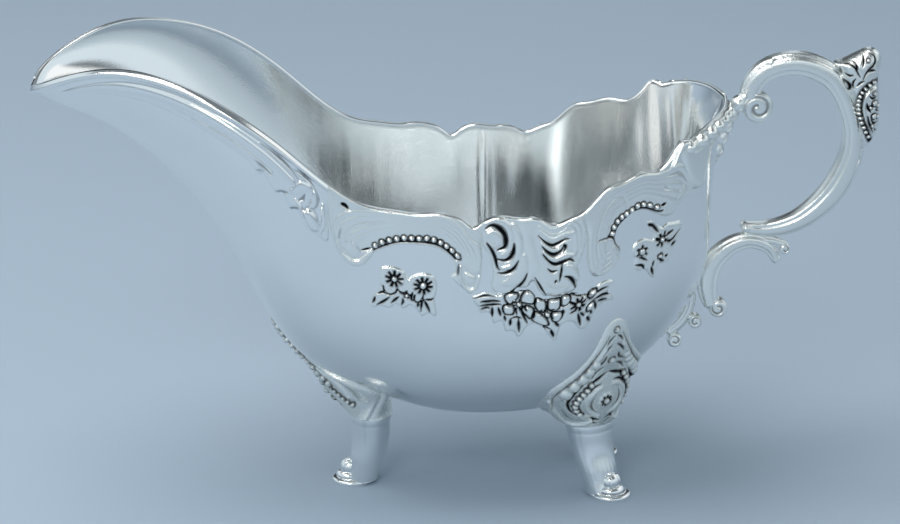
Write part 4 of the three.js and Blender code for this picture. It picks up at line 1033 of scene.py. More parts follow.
def draw_side_crest(r: Relief) -> None:
    """Draws the shell at the waist: nested crescents, a plain shield and the gills beside it."""
    r.plate([(-8.2, -1.2), (-8.6, 3), (-8, 6.5), (-6.4, 10), (-5.6, 13.6), (-5.4, 16.5), (-5.9, 19), (-4.6, 21.2),
             (-2, 22), (0.2, 20.9), (1.6, 19.6), (4.2, 19.3), (5.3, 17.4), (6.9, 20.2), (8.4, 21.2), (9.6, 20.6),
             (13, 20.9), (16.6, 20.6), (17.2, 18), (16.9, 15), (18.3, 12), (19.6, 8), (19.6, -1.2), (10, -1.2)],
            0.95, edge=1.2)
    r.plate([(0.8, -1), (7.4, -1), (6.2, 4), (7.4, 9), (8.4, 13.6), (6.4, 16.2), (4.6, 18.4), (3.4, 16), (2.8, 12),
             (1.6, 6)], 1.1, edge=2.4, crown=0.15)
    for line, half, top in (
            ([(-6.8, 3.4), (-4.8, 4.2), (-4, 6), (-4.8, 7.2)], 1.6, 1.45),
            ([(-7.6, 0.2), (-4.4, 0.4), (-1.4, 2.2), (-0.7, 5.4), (-1.2, 8.4), (-3, 10.3)], 1.1, 1.4),
            ([(-0.2, 1.2), (1.4, 5), (1.3, 9.2), (-0.2, 12.9), (-2.8, 13.9)], 1.1, 1.4),
            ([(2.8, 10), (2.4, 13.8), (0.4, 17), (-2.4, 18.4)], 1.7, 1.35),
            ([(7, 2.6), (10, 3.7), (13, 2.9), (16, 3.5)], 0.9, 1.4), ([(7.6, 5.9), (9.8, 6.7), (12.2, 6.3)], 0.8, 1.4),
            ([(8.2, 8.2), (10.4, 9.3), (13, 8.9), (16, 9.8)], 0.9, 1.4),
            ([(14.2, 12.2), (15.6, 14), (17, 17.2)], 0.9, 1.35), ([(9, 17.4), (11, 18.6), (14, 18.4)], 1.4, 1.25)):
        r.ridge(line, half, top, 0.85)
    r.reeds([(16.4, -0.6), (18.6, 2), (19, 6), (18, 10)], [(14.6, 0.8), (16.2, 3), (16.6, 6), (16.6, 9)], 3, 0.5, 0.3,
            0.95, quiet=0.6)
    r.reeds([(6.6, 0), (10, 0.9), (14, -0.2)], [(6.6, 1.6), (10, 2.4), (14.6, 1.6)], 2, 0.5, 0.25, 0.95, quiet=0.8)
    for line, half in (
            ([(-7.4, 1.7), (-5.8, 1.5), (-3.9, 2.6), (-2.5, 4.2), (-2, 6), (-2.4, 7.9), (-4.2, 8.7)], 0.68),
            ([(-7.2, 5.9), (-5.9, 8.3), (-4.9, 10.75), (-4.3, 13.4), (-3.6, 14.6)], 0.46),
            ([(0.15, 6.4), (0, 9), (-1, 10.9), (-2.4, 11.75), (-4.2, 11.4)], 0.52),
            ([(1.4, 11.2), (0.3, 13.4), (-1, 14.8), (-2.6, 15.5), (-4.1, 15.3)], 0.48),
            ([(3.75, 15), (3, 17.1), (1.6, 18.9), (0.6, 20), (-1, 21.2), (-2.3, 21.9)], 0.4),
            ([(5.7, 16.3), (7.2, 18.6), (8.8, 20.7)], 0.4), ([(5, 17.4), (4.6, 18.6), (4.3, 19.9)], 0.34),
            ([(6.5, 4.1), (8, 5), (10, 5.4), (12, 4.7), (13.6, 4.4), (14.9, 4.9)], 0.4),
            ([(7.6, 6.8), (9, 7.6), (10.6, 7.9), (12.4, 7.3), (13.4, 6.2)], 0.56),
            ([(13.3, 5.6), (13.8, 6.6), (13.4, 7.7)], 0.46),
            ([(7.8, 8.9), (9.2, 10), (11, 10.7), (13, 10.6), (15, 10.8), (16, 11.8)], 0.54),
            ([(9.1, 12.4), (10.2, 13), (11.7, 12.5)], 0.38), ([(12.9, 11.1), (12.7, 13), (12.2, 16)], 0.36),
            ([(11.4, 15.3), (11.1, 16.3)], 0.34), ([(13.5, 15), (15, 16.2), (16, 18), (16.6, 20.2)], 0.46)):
        r.groove(line, half, 0.6, 1.0)
    for line in ([(17.2, 8.6), (16.6, 10.4)], [(-8, 18.2), (-6.4, 18.6)], [(9, 19.9), (12.5, 20.2), (16, 20.2)]):
        r.groove(line, 0.4, 0.2, 0.2)


SPRAY_PETALS = [
    [(-2.1, 22.1), (-1.7, 24), (-0.4, 24.6), (0.4, 23.6), (1.5, 22.2), (1.2, 21), (-0.5, 20.9)],
    [(2.4, 21.6), (2.1, 23.4), (3.2, 24.2), (5.5, 24.4), (6.1, 22.7), (5.2, 20.9), (3.6, 20.3)],
    [(-2.3, 25.2), (-2.45, 26.9), (-1.7, 27.9), (0.05, 27.7), (0.6, 26.2), (-0.15, 24.9)],
    [(3.1, 25), (5.3, 25.6), (5.8, 27.5), (4.9, 29.2), (3.7, 28.1), (2.5, 26.4)],
    [(6.2, 22.6), (5.8, 24.6), (6.5, 26.1), (7.9, 26.2), (8.8, 25), (8.9, 23.2), (7.9, 22.3)],
    [(9.4, 22), (9.1, 23.8), (9.6, 25), (11.2, 25), (12.4, 24), (12.7, 22.3), (12.2, 21.2), (10.4, 21.3)],
    [(5.7, 27), (5.2, 29.4), (6.4, 30.3), (8.3, 30.4), (9.6, 29.6), (9, 27.9), (7.5, 26.9)],
    [(10.4, 25.8), (12.4, 25.4), (13.2, 26.8), (12.2, 28.4), (10.6, 28.2)],
    [(12.8, 21.2), (13.7, 20.8), (15, 21.7), (15.2, 23.4), (13.9, 24.2), (12.7, 23.5)],
    [(20.3, 24.2), (20.2, 25.6), (21.4, 26.6), (22.8, 26), (22.4, 24.6)],
    [(19.8, 27.9), (19.7, 29.3), (21, 30), (22.2, 28.9), (21.2, 27.7)],
]


def draw_side_spray(r: Relief) -> None:
    """Draws the hanging bunch of flowers and leaves under the crest."""
    r.plate([(-11, 19.7), (-8, 20.2), (-4.6, 22), (-2, 21.9), (0.5, 20.6), (4.3, 19.9), (6.4, 21.6), (8.6, 21.8),
             (11, 20.9), (14.2, 20.6), (17.6, 22.2), (20.6, 24.4), (24, 25), (28.6, 27.4), (26.4, 29), (28.6, 33.2),
             (24.6, 32), (22.4, 32), (21, 34.2), (18.4, 34.9), (16.4, 31.4), (14, 30), (12.6, 31.2), (11.4, 35.2),
             (9.2, 32.8), (7.6, 31.4), (4.6, 31.4), (2, 35.4), (0.4, 33.4), (-1.6, 33.8), (-2.6, 30.6), (-5, 31),
             (-6, 27.6), (-8.6, 26), (-9.2, 23.6)], 0.6, edge=0.8, crown=0.3)
    for loop in SPRAY_PETALS:
        r.petal(loop, 1.3)
    r.bead((1.8, 24.4), 0.7, 1.5, moat=0.3)
    r.bead((9.2, 26.5), 0.75, 1.5, moat=0.3)
    for a, b, count, turn in ((1.7, 24.7, 7, 0.3), (9.2, 26.4, 6, 0.5)):
        for k in range(count):
            c, s = math.cos(turn + math.tau * k / count), math.sin(turn + math.tau * k / count)
            r.groove([(a + 0.8 * c, b + 0.8 * s), (a + 2 * c, b + 2 * s)], 0.26, 0.4, 1.0)
    r.flower((17.4, 25.6), 2.9, 8, 1.25, heart=0.7, turn=0.2)
    for line, half in (
            ([(-10.6, 20), (-7.6, 21.2), (-4.6, 22.7)], 0.3), ([(-8.6, 22.4), (-6.6, 23.4), (-3.3, 24)], 0.42),
            ([(-8.7, 23.6), (-6.4, 24.6), (-3, 24.9)], 0.42), ([(-8.4, 24.8), (-6, 25.7)], 0.4),
            ([(-5.4, 25.6), (-5.3, 28.7)], 0.42), ([(-3.8, 25.8), (-3, 28.6)], 0.4),
            ([(-2.1, 28.3), (-1.7, 30.2)], 0.36), ([(-0.35, 29.2), (-0.5, 31.5)], 0.42),
            ([(0.8, 25.4), (1.2, 27.7)], 0.3), ([(1.8, 25.2), (2.2, 26.5)], 0.3),
            ([(2.3, 26.5), (3.2, 28.6), (4.1, 30.8)], 0.34), ([(2.9, 25), (3.9, 26.5)], 0.34),
            ([(-0.2, 29), (1.2, 28.4), (2.5, 28.9)], 0.34), ([(1.7, 29), (2, 33.5)], 0.44),
            ([(0.6, 22.9), (0.4, 24.4)], 0.4), ([(7.7, 25.4), (8.3, 27.3)], 0.34), ([(9.5, 25), (11, 24.1)], 0.34),
            ([(13.1, 25), (13.6, 26.7)], 0.3), ([(11.2, 28.7), (12.3, 30.4)], 0.46), ([(8.1, 30.7), (10, 31)], 0.32),
            ([(10.2, 31.2), (11, 33.8)], 0.46), ([(8.3, 30.8), (8.5, 32.3)], 0.34),
            ([(14.8, 23.5), (16.4, 25.4)], 0.36), ([(15.2, 27.5), (16.4, 27.3)], 0.44),
            ([(17.3, 28.5), (18.1, 33.1)], 0.42), ([(17.9, 28.3), (19.1, 30.4)], 0.36),
            ([(19.8, 31.2), (20.7, 33.5)], 0.44), ([(22.2, 28.8), (22.6, 31.5)], 0.42),
            ([(20.8, 30.2), (21.4, 31.8)], 0.34), ([(20.2, 25.4), (23, 26.4), (26.4, 27.9)], 0.34),
            ([(21.6, 27.4), (24.4, 28.8), (27.6, 31)], 0.4), ([(22.9, 29.2), (26, 31.6)], 0.38),
            ([(15.6, 21.9), (17.5, 22.9), (19.5, 23.5)], 0.32),
            ([(-2.3, 21.9), (-0.4, 20.8), (1.6, 20.5), (3.7, 20.1), (5, 20.7), (6.2, 21.9), (7.5, 22.4), (8.7, 21.8),
             (9.5, 21.1), (12.5, 20.7), (14.2, 20.7), (16.4, 22), (19.5, 23.8), (21, 25)], 0.36)):
        r.groove(line, half, 0.5, 1.0)


BACK_BEADS = [(27.8, 12.6), (28.4, 11), (29.6, 9.7), (31.1, 8.9), (32.8, 8.6), (34.6, 8.4), (36.6, 8.1), (38.6, 8.3),
              (40.8, 8.8), (43.1, 9.6)]


def draw_back_cartouche(r: Relief) -> None:
    """Draws the second C scroll with its beads, and the band that runs from it to the handle."""
    r.plate([(20, -1.2), (20, 6), (20.2, 12), (20.8, 18), (23, 21.8), (26, 23.2), (28.8, 22.4), (30.8, 20),
             (30.6, 17.4), (29.2, 15.2), (29.8, 12.4), (31.4, 10.9), (34, 10), (37, 9.8), (40, 10.3), (43.4, 11.7),
             (46.2, 14), (49, 15.8), (52.4, 16), (55.6, 14.2), (57.4, 10.6), (62, 8), (70, 5.6), (80, 3.6), (87, 2),
             (87, -1.2), (70, -1.2), (40, -1.2)], 0.95, edge=1.5)
    r.reeds([(21.4, 18.6), (20.8, 12), (21.6, 6.4), (24.4, 2.4), (29, 0.4), (36, 0.6), (43, 0.8), (47.6, 2.2),
             (51.6, 6.2), (54.4, 11)],
            [(25.6, 13.4), (25.6, 10.6), (27, 7.8), (29, 6.2), (32, 5.4), (36, 5.2), (40, 5.4), (43.6, 6.4),
             (46.6, 9), (48.6, 12)], 5, 0.7, 0.42, 0.95, quiet=0.35)
    r.reeds([(22, 18), (24, 21.6), (27, 22.2), (29.4, 20.2)], [(24.6, 15.6), (25.4, 17.4), (26.8, 17.8), (28, 16.6)], 4,
            0.6, 0.35, 0.9, quiet=1.0)
    r.plate([(51.6, 1), (56, -0.6), (61, 0), (63.6, 3), (63, 8), (60.4, 13.4), (57.2, 14), (54, 11), (52, 6)], 1.75,
            edge=2.2, crown=0.1)
    r.ridge([(48.6, 1.6), (52, 0.6), (55.4, 0.6), (58, 2)], 1.5, 2.0, 0.8, (0.5, 0.8))
    for place, radius, top in ((64.2, 3.2, 1.6), (71.6, 3.4, 1.45), (79, 2.8, 1.4)):
        r.bead((place, 0.9), radius, top, 0.8, moat=0.12, dark=0.12)
    r.ridge([(53, 6.6), (60, 5), (70, 3.6), (80, 2.4)], 1.1, 1.2, 0.7, (0.5, 0.3))
    r.bead((51.6, 12.8), 1.6, 1.5, 0.8, moat=0.12, dark=0.1)
    for line, dark in (
            ([(22.8, 15.5), (22.6, 10.8), (24, 6.4), (27.6, 3.3), (32, 2.9)], 0.12),
            ([(31.4, 3), (32.4, 5), (32.8, 7)], 0.12), ([(47.4, 3), (49.6, 5.2), (51.4, 8), (52.8, 10.6)], 0.3),
            ([(45.4, 4), (47, 6.6)], 0.2), ([(50, 1.6), (60, 2.6), (72, 2)], 0.12)):
        r.groove(line, 0.4, 0.18, dark)
    r.groove([(26.6, 12.8), (28.6, 13.6), (29.6, 11.6), (31.6, 10.1), (34, 9.5), (36.8, 9.2), (39, 9.4), (41.4, 10),
              (43.6, 10.9), (45, 11.3)], 0.4, 0.6, 1.0, taper=(0.5, 0.7))
    r.groove([(23, 11), (25, 12.3), (26.9, 13.2), (28.3, 14.3), (29, 16), (30.4, 18.3)], 0.34, 0.45, 0.85)
    r.groove([(44.6, 9.4), (46.2, 10.1)], 0.42, 0.5, 1.0)
    for place in BACK_BEADS:
        r.bead(place, 0.82, 1.75, moat=0.3)


def draw_back_spray(r: Relief) -> None:
    """Draws the flowers and leaves that hang inside the back scroll."""
    r.plate([(40.4, 13.6), (42.2, 13.8), (44, 15.6), (45.4, 16.6), (47, 16.8), (49.6, 19.6), (52, 23.2), (50.6, 25.6),
             (49, 26.6), (47.4, 28.6), (45.4, 28), (43.6, 27.4), (42.6, 31.4), (40.6, 30), (39.4, 28.4), (37, 28),
             (35.6, 25.8), (36, 23.4), (34.8, 20.6), (36.6, 18.8), (39.6, 18.6), (41.8, 19.2), (42.2, 17.6),
             (40.4, 15.4)], 0.6, edge=0.8, crown=0.2)
    r.flower((44.9, 20), 2.9, 7, 1.05, heart=0.7, turn=0.3)
    r.flower((38.1, 22.2), 2.7, 6, 1.05, heart=1.0, turn=0.1)
    r.flower((44.2, 24.8), 1.6, 5, 1.0, heart=0.6, turn=0.6)
    r.groove([(40.9, 14.6), (42.1, 15), (43.8, 17.2)], 0.6, 0.6, 1.0, taper=(1.0, 0.3))
    for line, half in (
            ([(45.6, 19.6), (47.2, 20), (48.8, 20.8)], 0.4), ([(46, 20.8), (47.8, 22.8), (51, 23.8)], 0.4),
            ([(47.9, 24.2), (49.4, 25.5)], 0.46), ([(35.9, 25.6), (38.3, 26.7), (38.8, 28.4)], 0.42),
            ([(41.2, 27.5), (41.9, 30.2)], 0.5), ([(42.1, 25.6), (41.7, 27.5)], 0.36),
            ([(44, 25.8), (45.6, 27.3)], 0.4), ([(36.9, 23.4), (39.8, 25.3)], 0.4),
            ([(45.8, 25.6), (46.8, 26.6)], 0.34), ([(42.9, 18.8), (44, 19.6)], 0.42)):
        r.groove(line, half, 0.5, 1.0)


CASTINGS = [
    Casting("spout_border", (-155, -0.9), (-51.2, 18), BODY_SILVER, Slot.SILVER, draw_spout_border, 0.2),
    Casting("front_cartouche", (-52, -0.9), (-7.8, 20.5), CAST_SILVER, Slot.OXIDISED, draw_front_cartouche, 0.25),
    Casting("side_crest", (-9.4, -0.9), (20.4, 23), CAST_SILVER, Slot.OXIDISED, draw_side_crest, 0.3),
    Casting("back_cartouche", (19.4, -0.9), (88, 24.5), CAST_SILVER, Slot.OXIDISED, draw_back_cartouche, 0.25),
    Casting("front_spray", (-40, 14.5), (-19, 31), CAST_SILVER, Slot.OXIDISED, draw_front_spray, 0.4),
    Casting("side_spray", (-12, 18.5), (30, 36.5), CAST_SILVER, Slot.OXIDISED, draw_side_spray, 0.4),
    Casting("back_spray", (33.5, 12.5), (53, 32.5), CAST_SILVER, Slot.OXIDISED, draw_back_spray, 0.4),
]


# Handle


def route_line(points: Array, steps: int) -> Array:
    """Runs the model's centripetal curve through points of the plane Y = 0.

    Args:
        points: rows of x and z.
        steps: how many spans are made in all.

    Returns:
        Rows of x and z.
    """
    p = np.asarray(points, float)
    p = np.vstack([2 * p[0] - p[1], p, 2 * p[-1] - p[-2]])
    spans = len(p) - 3
    share = np.linspace(0, spans, steps + 1)
    i = np.minimum(share.astype(int), spans - 1)
    f = (share - i)[:, None]
    gap = np.maximum(np.linalg.norm(np.diff(p, axis=0), axis=1) ** 0.5, 1e-4)
    a, b, c, d = p[i], p[i + 1], p[i + 2], p[i + 3]
    g0, g1, g2 = gap[i][:, None], gap[i + 1][:, None], gap[i + 2][:, None]
    start = ((b - a) / g0 - (c - a) / (g0 + g1) + (c - b) / g1) * g1
    end = ((c - b) / g1 - (d - b) / (g1 + g2) + (d - c) / g2) * g1
    return b + start * f + (3 * (c - b) - 2 * start - end) * f**2 + (2 * (b - c) + start + end) * f**3


@dataclass
class Arm:
    """A scroll's arm of changing oval section along a route in the plane Y = 0.

    Each row of the route is x, z, half depth and half width. moulding(share, angle) returns how far the
    surface stands proud there and its patina; angle 0 is on the outer side of the bend.
    """

    route: Array
    steps: int
    sides: int = 64
    squareness: float = 2.5
    moulding: Callable[[Array, Array], tuple[Array, Array]] | None = None

    def skin(self) -> Skin:
        """Builds the closed arm with rounded ends."""
        rows = np.asarray(self.route, float)
        line = route_line(rows[:, :2], self.steps)
        place = np.linspace(0, len(rows) - 1, self.steps + 1)
        soft = self.steps / len(rows) / 3
        depth, width = (blurred(np.interp(place, range(len(rows)), rows[:, k])[:, None], soft)[:, 0] for k in (2, 3))
        along = unit(np.gradient(line, axis=0))
        across = np.stack([-along[:, 1], along[:, 0]], 1)
        share = np.linspace(0, 1, self.steps + 1)
        angle = circle(self.sides)
        c, s = np.cos(angle), np.sin(angle)
        oval = (np.abs(c) ** self.squareness + np.abs(s) ** self.squareness) ** (-1 / self.squareness)
        worked = self.moulding(share[:, None], angle[None, :]) if self.moulding else (0.0, 0.0)
        proud, patina = (np.broadcast_to(v, (len(share), self.sides)) for v in worked)
        out = depth[:, None] * oval * c + proud * c
        side = width[:, None] * oval * s + proud * s
        rings = np.stack([line[:, :1] + across[:, :1] * out, side, line[:, 1:] + across[:, 1:] * out], -1)
        caps, tips = [], []
        for end, way in ((0, -1), (-1, 1)):
            middle = np.array([line[end, 0], 0, line[end, 1]])
            ahead = np.array([along[end, 0], 0, along[end, 1]]) * way * depth[end]
            tips.append(middle + ahead * 0.72)
            for turn in (math.pi / 8, math.pi / 4, 3 * math.pi / 8):
                caps.append(middle + (rings[end] - middle) * math.cos(turn) + ahead * 0.7 * math.sin(turn))
        stain = np.vstack([patina[:1]] * 3 + [patina] + [patina[-1:]] * 3)
        return tube(np.stack([*caps[2::-1], *rings, *caps[3:]]), *tips, stain, turned=True)


@dataclass
class Curl:
    """A scroll's rolled end: a drum across the boat with a spiral on both faces."""

    x: float
    z: float
    radius: float
    half: float
    turns: float = 1.3
    start: float = 0.0
    hand: int = 1
    relief: float = 0.35
    rings: int = 30
    sides: int = 72

    def skin(self) -> Skin:
        """Builds the closed drum."""
        edge = min(self.radius, self.half) * 0.4
        r = self.radius * np.linspace(0, 1, self.rings + 1)[1:]
        angle = circle(self.sides)
        grid_r, grid_a = np.meshgrid(r, angle, indexing="ij")
        rounding = held((grid_r - (self.radius - edge)) / edge)
        face = self.half - edge * (1 - np.sqrt(1 - rounding**2))
        wind = np.mod((grid_a - self.start) * self.hand / (math.tau), 1)
        pitch = self.radius * 0.92 / (self.turns + 0.35)
        groove = np.zeros(grid_r.shape)
        for lap in range(-1, int(self.turns) + 2):
            lane = self.radius - pitch * (wind + lap + 0.35)
            line = bell(grid_r - lane, 0.13 * self.radius)
            groove = np.maximum(groove, line * (wind + lap > -0.3) * (lane > 0.16 * self.radius))
        face = face - self.relief * groove * (1 - rounding)
        x, z = self.x + grid_r * np.cos(grid_a), self.z + grid_r * np.sin(grid_a)
        made = Skin()
        patina = held(groove * 0.55 * (1 - rounding))
        near = made.add(np.stack([x, -face, z], -1), patina)
        far = made.add(np.stack([x, face, z], -1), patina)
        made.sheet(near, loop=True)
        made.sheet(far, loop=True, flip=True)
        made.sheet(np.stack([near[-1], far[-1]]), loop=True)
        heart = self.half + 0.1
        made.fan(near[0], np.array([self.x, -heart, self.z]), flip=True)
        made.fan(far[0], np.array([self.x, heart, self.z]))
        return made.closed()


def ball(x: float, y: float, z: float, radius: float, scale: Triple = (1, 1, 1)) -> Skin:
    """Returns a small round bead at a place."""
    rows, sides = 12, 20
    lift = np.linspace(-math.pi / 2, math.pi / 2, rows + 1)[1:-1]
    turn = circle(sides)
    grid_l, grid_t = np.meshgrid(lift, turn, indexing="ij")
    shape = np.stack([np.cos(grid_l) * np.cos(grid_t), np.cos(grid_l) * np.sin(grid_t), np.sin(grid_l)], -1)
    middle, pole = np.array([x, y, z]), np.array([0, 0, radius * scale[2]])
    return tube(middle + shape * radius * np.array(scale), middle - pole, middle + pole)


@dataclass
class Handle:
    """The C scroll handle: its stem on the rim, the grip, the crowned shield and the lower bracket."""

    back_reach: float = 75.1
    back_height: float = 111.9
    reach: float = 118.1
    bracket_height: float = 61.0
    tail_height: float = 48.0
    anchor_offset: float = 0.8
    grip_shares: tuple[Row, ...] = (
        (0.114, 0.02, 2.5, 2.5), (0, 0, 2.8, 2.8), (-0.127, 0.13, 3, 3.1), (-0.177, 0.42, 3.3, 3.7),
        (-0.085, 0.733, 3.4, 3.7), (0.136, 0.914, 2.9, 3.7), (0.408, 0.973, 3.1, 3.7), (0.718, 0.818, 3.6, 3.7),
        (0.935, 0.507, 2.8, 3.2), (1.002, 0.23, 2.2, 2.8), (1, 0, 1.7, 2.4))
    bracket_offsets: tuple[Row, ...] = (
        (3.4, -9.4, 2.2, 2.4), (2.6, -5.6, 2.8, 2.6), (2.5, -1.7, 3.1, 2.6), (3.8, 2.5, 2.9, 2.6),
        (6.8, 6.1, 2.6, 2.6), (9.8, 8.1, 2.3, 2.6), (13.5, 9.1, 2.1, 2.6), (16.6, 8.6, 2.1, 2.6),
        (19.5, 6.9, 1.8, 2.3), (21.8, 3.4, 1.4, 1.9))

    @staticmethod
    def wall_reach(height: float) -> float:
        """Returns the reach of the back wall on the keel line at a height."""
        line = HULL.point(np.linspace(HULL.last - 1, 30, 2000), np.zeros(2000))
        return float(line[np.argmax(line[:, 2] <= height), 0])

    def from_wall(self, height: float, offsets: Sequence[Row]) -> Array:
        """Returns route rows set off from the back wall at a height."""
        rows = np.array(offsets, float)
        rows[:, 0] += self.wall_reach(height)
        rows[:, 1] += height
        return rows

    def grip_route(self) -> Array:
        """Returns the grip's route from its shares between the bracket and its start."""
        top = self.from_wall(self.bracket_height, self.bracket_offsets)[6]
        start = np.array([self.back_reach + 6.6, self.back_height + 2.3])
        end = np.array([top[0] - 0.6, top[1] + 2.1 + 1.6])
        side = self.reach - 6.7
        rows = np.array(self.grip_shares)
        inner = start[0] + (end[0] - start[0]) * held(rows[:, 0])
        x = inner + (side - inner) * rows[:, 1]
        z = start[1] + (end[1] - start[1]) * rows[:, 0]
        return np.stack([x, z, rows[:, 2], rows[:, 3]], 1)

    @staticmethod
    def strap(share: Array, angle: Array) -> tuple[Array, Array]:
        """Returns the ribs of a moulded strap: two along its outer face and two along its inner one."""
        proud, patina = 0.0, 0.0
        for at, rise, line, way in ((0.42, 0.30, 0.16, 1), (-0.42, 0.30, 0.16, -1), (2.35, 0.22, 0.12, -1),
                                    (-2.35, 0.22, 0.12, 1)):
            gap = np.mod(angle - at + math.pi, math.tau) - math.pi
            inward = gap * way
            proud = proud + rise * bell(gap, 0.17) - 0.30 * bell(inward - 0.33, 0.12)
            patina = patina + line * bell(inward - 0.33, 0.12)
        ends = held(share / 0.04) * held((1 - share) / 0.04)
        return proud * ends, patina * ends + 0 * share

    def grip(self) -> Skin:
        """Builds the grip with its curled start and the leaf mouldings along it."""
        route = self.grip_route()
        start = route[1]
        curl = Curl(start[0] + 1.7, start[1] - 4.9, 4.3, 2.9, turns=1.2, start=1.9, hand=-1)
        arm = Arm(route, 260, moulding=self.strap).skin()
        line = route_line(route[:, :2], 260)
        leaves = [self.leaf(line[40:78], 1.6, 2.9, 3.2), self.leaf(line[150:182], 1.5, 3.2, 3.3)]
        last = route[-1]
        knob = [ball(last[0] - 0.2, side * 1.9, last[1] + 0.3, 1.25) for side in (-1, 1)]
        return arm.joined(curl.skin(), *leaves, *knob)

    @staticmethod
    def leaf(line: Array, thick: float, depth: float, width: float) -> Skin:
        """Builds a slim acanthus leaf that lies along the outside of an arm.

        Args:
            line: the part of the arm's middle line that it covers.
            thick: how far it stands off at its fullest.
            depth: half depth of the arm.
            width: half width of the arm.

        Returns:
            The closed leaf.
        """
        along = unit(np.gradient(line, axis=0))
        across = np.stack([-along[:, 1], along[:, 0]], 1)
        share = np.linspace(0, 1, len(line))[:, None]
        phi = circle(40)[None, :]
        swell = np.sin(np.pi * np.clip(share, 0.001, 0.999)) ** 0.6
        lobes = 1 + 0.12 * np.cos(share * 2 * math.pi * 4) * np.abs(np.sin(phi))
        off = np.mod(phi + math.pi, math.tau) - math.pi
        vein = -0.18 * bell(off, 0.3)
        out = (depth - 0.9) + (0.9 + 0.35 * thick) * swell * (np.cos(phi) + vein)
        side = width * 0.86 * swell * np.sin(phi) * lobes
        patina = 0.5 * bell(off, 0.22) * swell
        rings = np.stack([line[:, :1] + across[:, :1] * out, side, line[:, 1:] + across[:, 1:] * out], -1)
        return tube(rings, rings[0].mean(0), rings[-1].mean(0), patina, turned=True)

    def stem(self) -> Skin:
        """Builds the turned stem that climbs the neck, with its collars and beads."""
        foot = self.wall_reach(self.back_height - 16.2)
        x0, z0 = self.back_reach, self.back_height
        route = np.array([
            (foot + 0.5, z0 - 21.7, 1.2, 2.4), (foot + 2.2, z0 - 16.2, 2.4, 3.2), (foot + 4.9, z0 - 10.2, 2.1, 2.9),
            (x0 + 1, z0 - 4.4, 2.1, 2.4), (x0 + 6.2, z0 + 1.6, 1.8, 2.2)])

        def collars(share: Array, angle: Array) -> tuple[Array, Array]:
            """Returns the stem's rings and flutes."""
            proud, patina = 0 * share + 0 * angle, 0 * share + 0 * angle
            for at, rise, reach in ((0.33, 0.6, 0.05), (0.47, 0.5, 0.048), (0.61, 0.5, 0.045), (0.74, 0.5, 0.04),
                                    (0.86, 0.4, 0.034)):
                proud = proud + rise * bell(share - at, reach)
                edge = bell(np.abs(share - at) - 1.45 * reach, 0.3 * reach)
                proud, patina = proud - 0.12 * edge, patina + 0.1 * edge
            low, flute = held((0.4 - share) / 0.08), np.cos(angle * 9) ** 2
            return proud + 0.25 * low * flute, patina + 0.3 * low * (flute < 0.12)

        beads = [ball(x0 + 5.6, 0, z0 + 3.8, 1.3)]
        for u, radius in ((55, 2.1), (59.8, 2.2), (64.4, 2.1), (69, 1.9), (73.4, 1.8), (77.8, 1.7)):
            x, y, z = HULL.off(np.array(u), np.array(1.3), np.array(0.9))
            beads += [ball(x, side * y, z, radius, (1, 1, 0.9)) for side in (-1, 1)]
        return Arm(route, 200, moulding=collars, squareness=2.1).skin().joined(*beads)

    def bracket(self) -> Skin:
        """Builds the C scroll below the grip, its curl and its leaf."""
        route = self.from_wall(self.bracket_height, self.bracket_offsets)
        curl = self.from_wall(self.bracket_height, [(5.4, -10.5, 2.7, 2.5)])[0]
        leaf = self.from_wall(self.bracket_height, [(14.6, 9.5, 1.1, 2), (19.8, 8.9, 1.3, 1.9), (24.5, 7.4, 0.9, 1.1)])
        bud = Curl(leaf[-1, 0] - 0.4, leaf[-1, 1] - 0.9, 1.5, 1.5, turns=0.8, start=1.2, hand=-1, relief=0.25)
        parts = [Curl(curl[0], curl[1], 2.7, 2.5, turns=1.1, start=2.2), Arm(leaf, 40, 40, moulding=self.strap), bud]
        scroll = Arm(route, 180, sides=56, moulding=self.strap)
        return scroll.skin().joined(*(part.skin() for part in parts))

    def tail(self) -> Skin:
        """Builds the double scroll on the wall under the bracket."""
        route = self.from_wall(self.tail_height, [(5, 6.7, 1.1, 1.7), (4.1, 2.2, 1.3, 2), (1.9, -1.6, 1.4, 2),
                                                  (-1.3, -4.6, 1.2, 1.9)])
        branch = self.from_wall(self.tail_height, [(2.9, 0.4, 1, 1.7), (4.7, -0.2, 1, 1.7)])
        curls = self.from_wall(self.tail_height, [(6.1, -1.5, 2, 2.1), (0.3, -7, 2.1, 2.1)])
        parts = [Curl(x, z, r, w, turns=1, start=0.5 + 2 * k, hand=-1 if k else 1, relief=0.25).skin()
                 for k, (x, z, r, w) in enumerate(curls)]
        return Arm(route, 80, sides=40, moulding=self.strap).skin().joined(Arm(branch, 12, sides=32).skin(), *parts)

    def build(self) -> None:
        """Makes the handle's objects."""
        for made, name in ((self.grip, "handle_grip"), (self.stem, "handle_stem"), (self.bracket, "lower_bracket"),
                           (self.tail, "bracket_tail")):
            dress(made(), name, CAST_SILVER, Slot.SILVER)
        anchor = self.grip_route()[6] + np.array([self.anchor_offset, 0, 0, 0])
        dress(Shield(anchor).skin(), "thumb_cartouche", CAST_SILVER, Slot.OXIDISED)


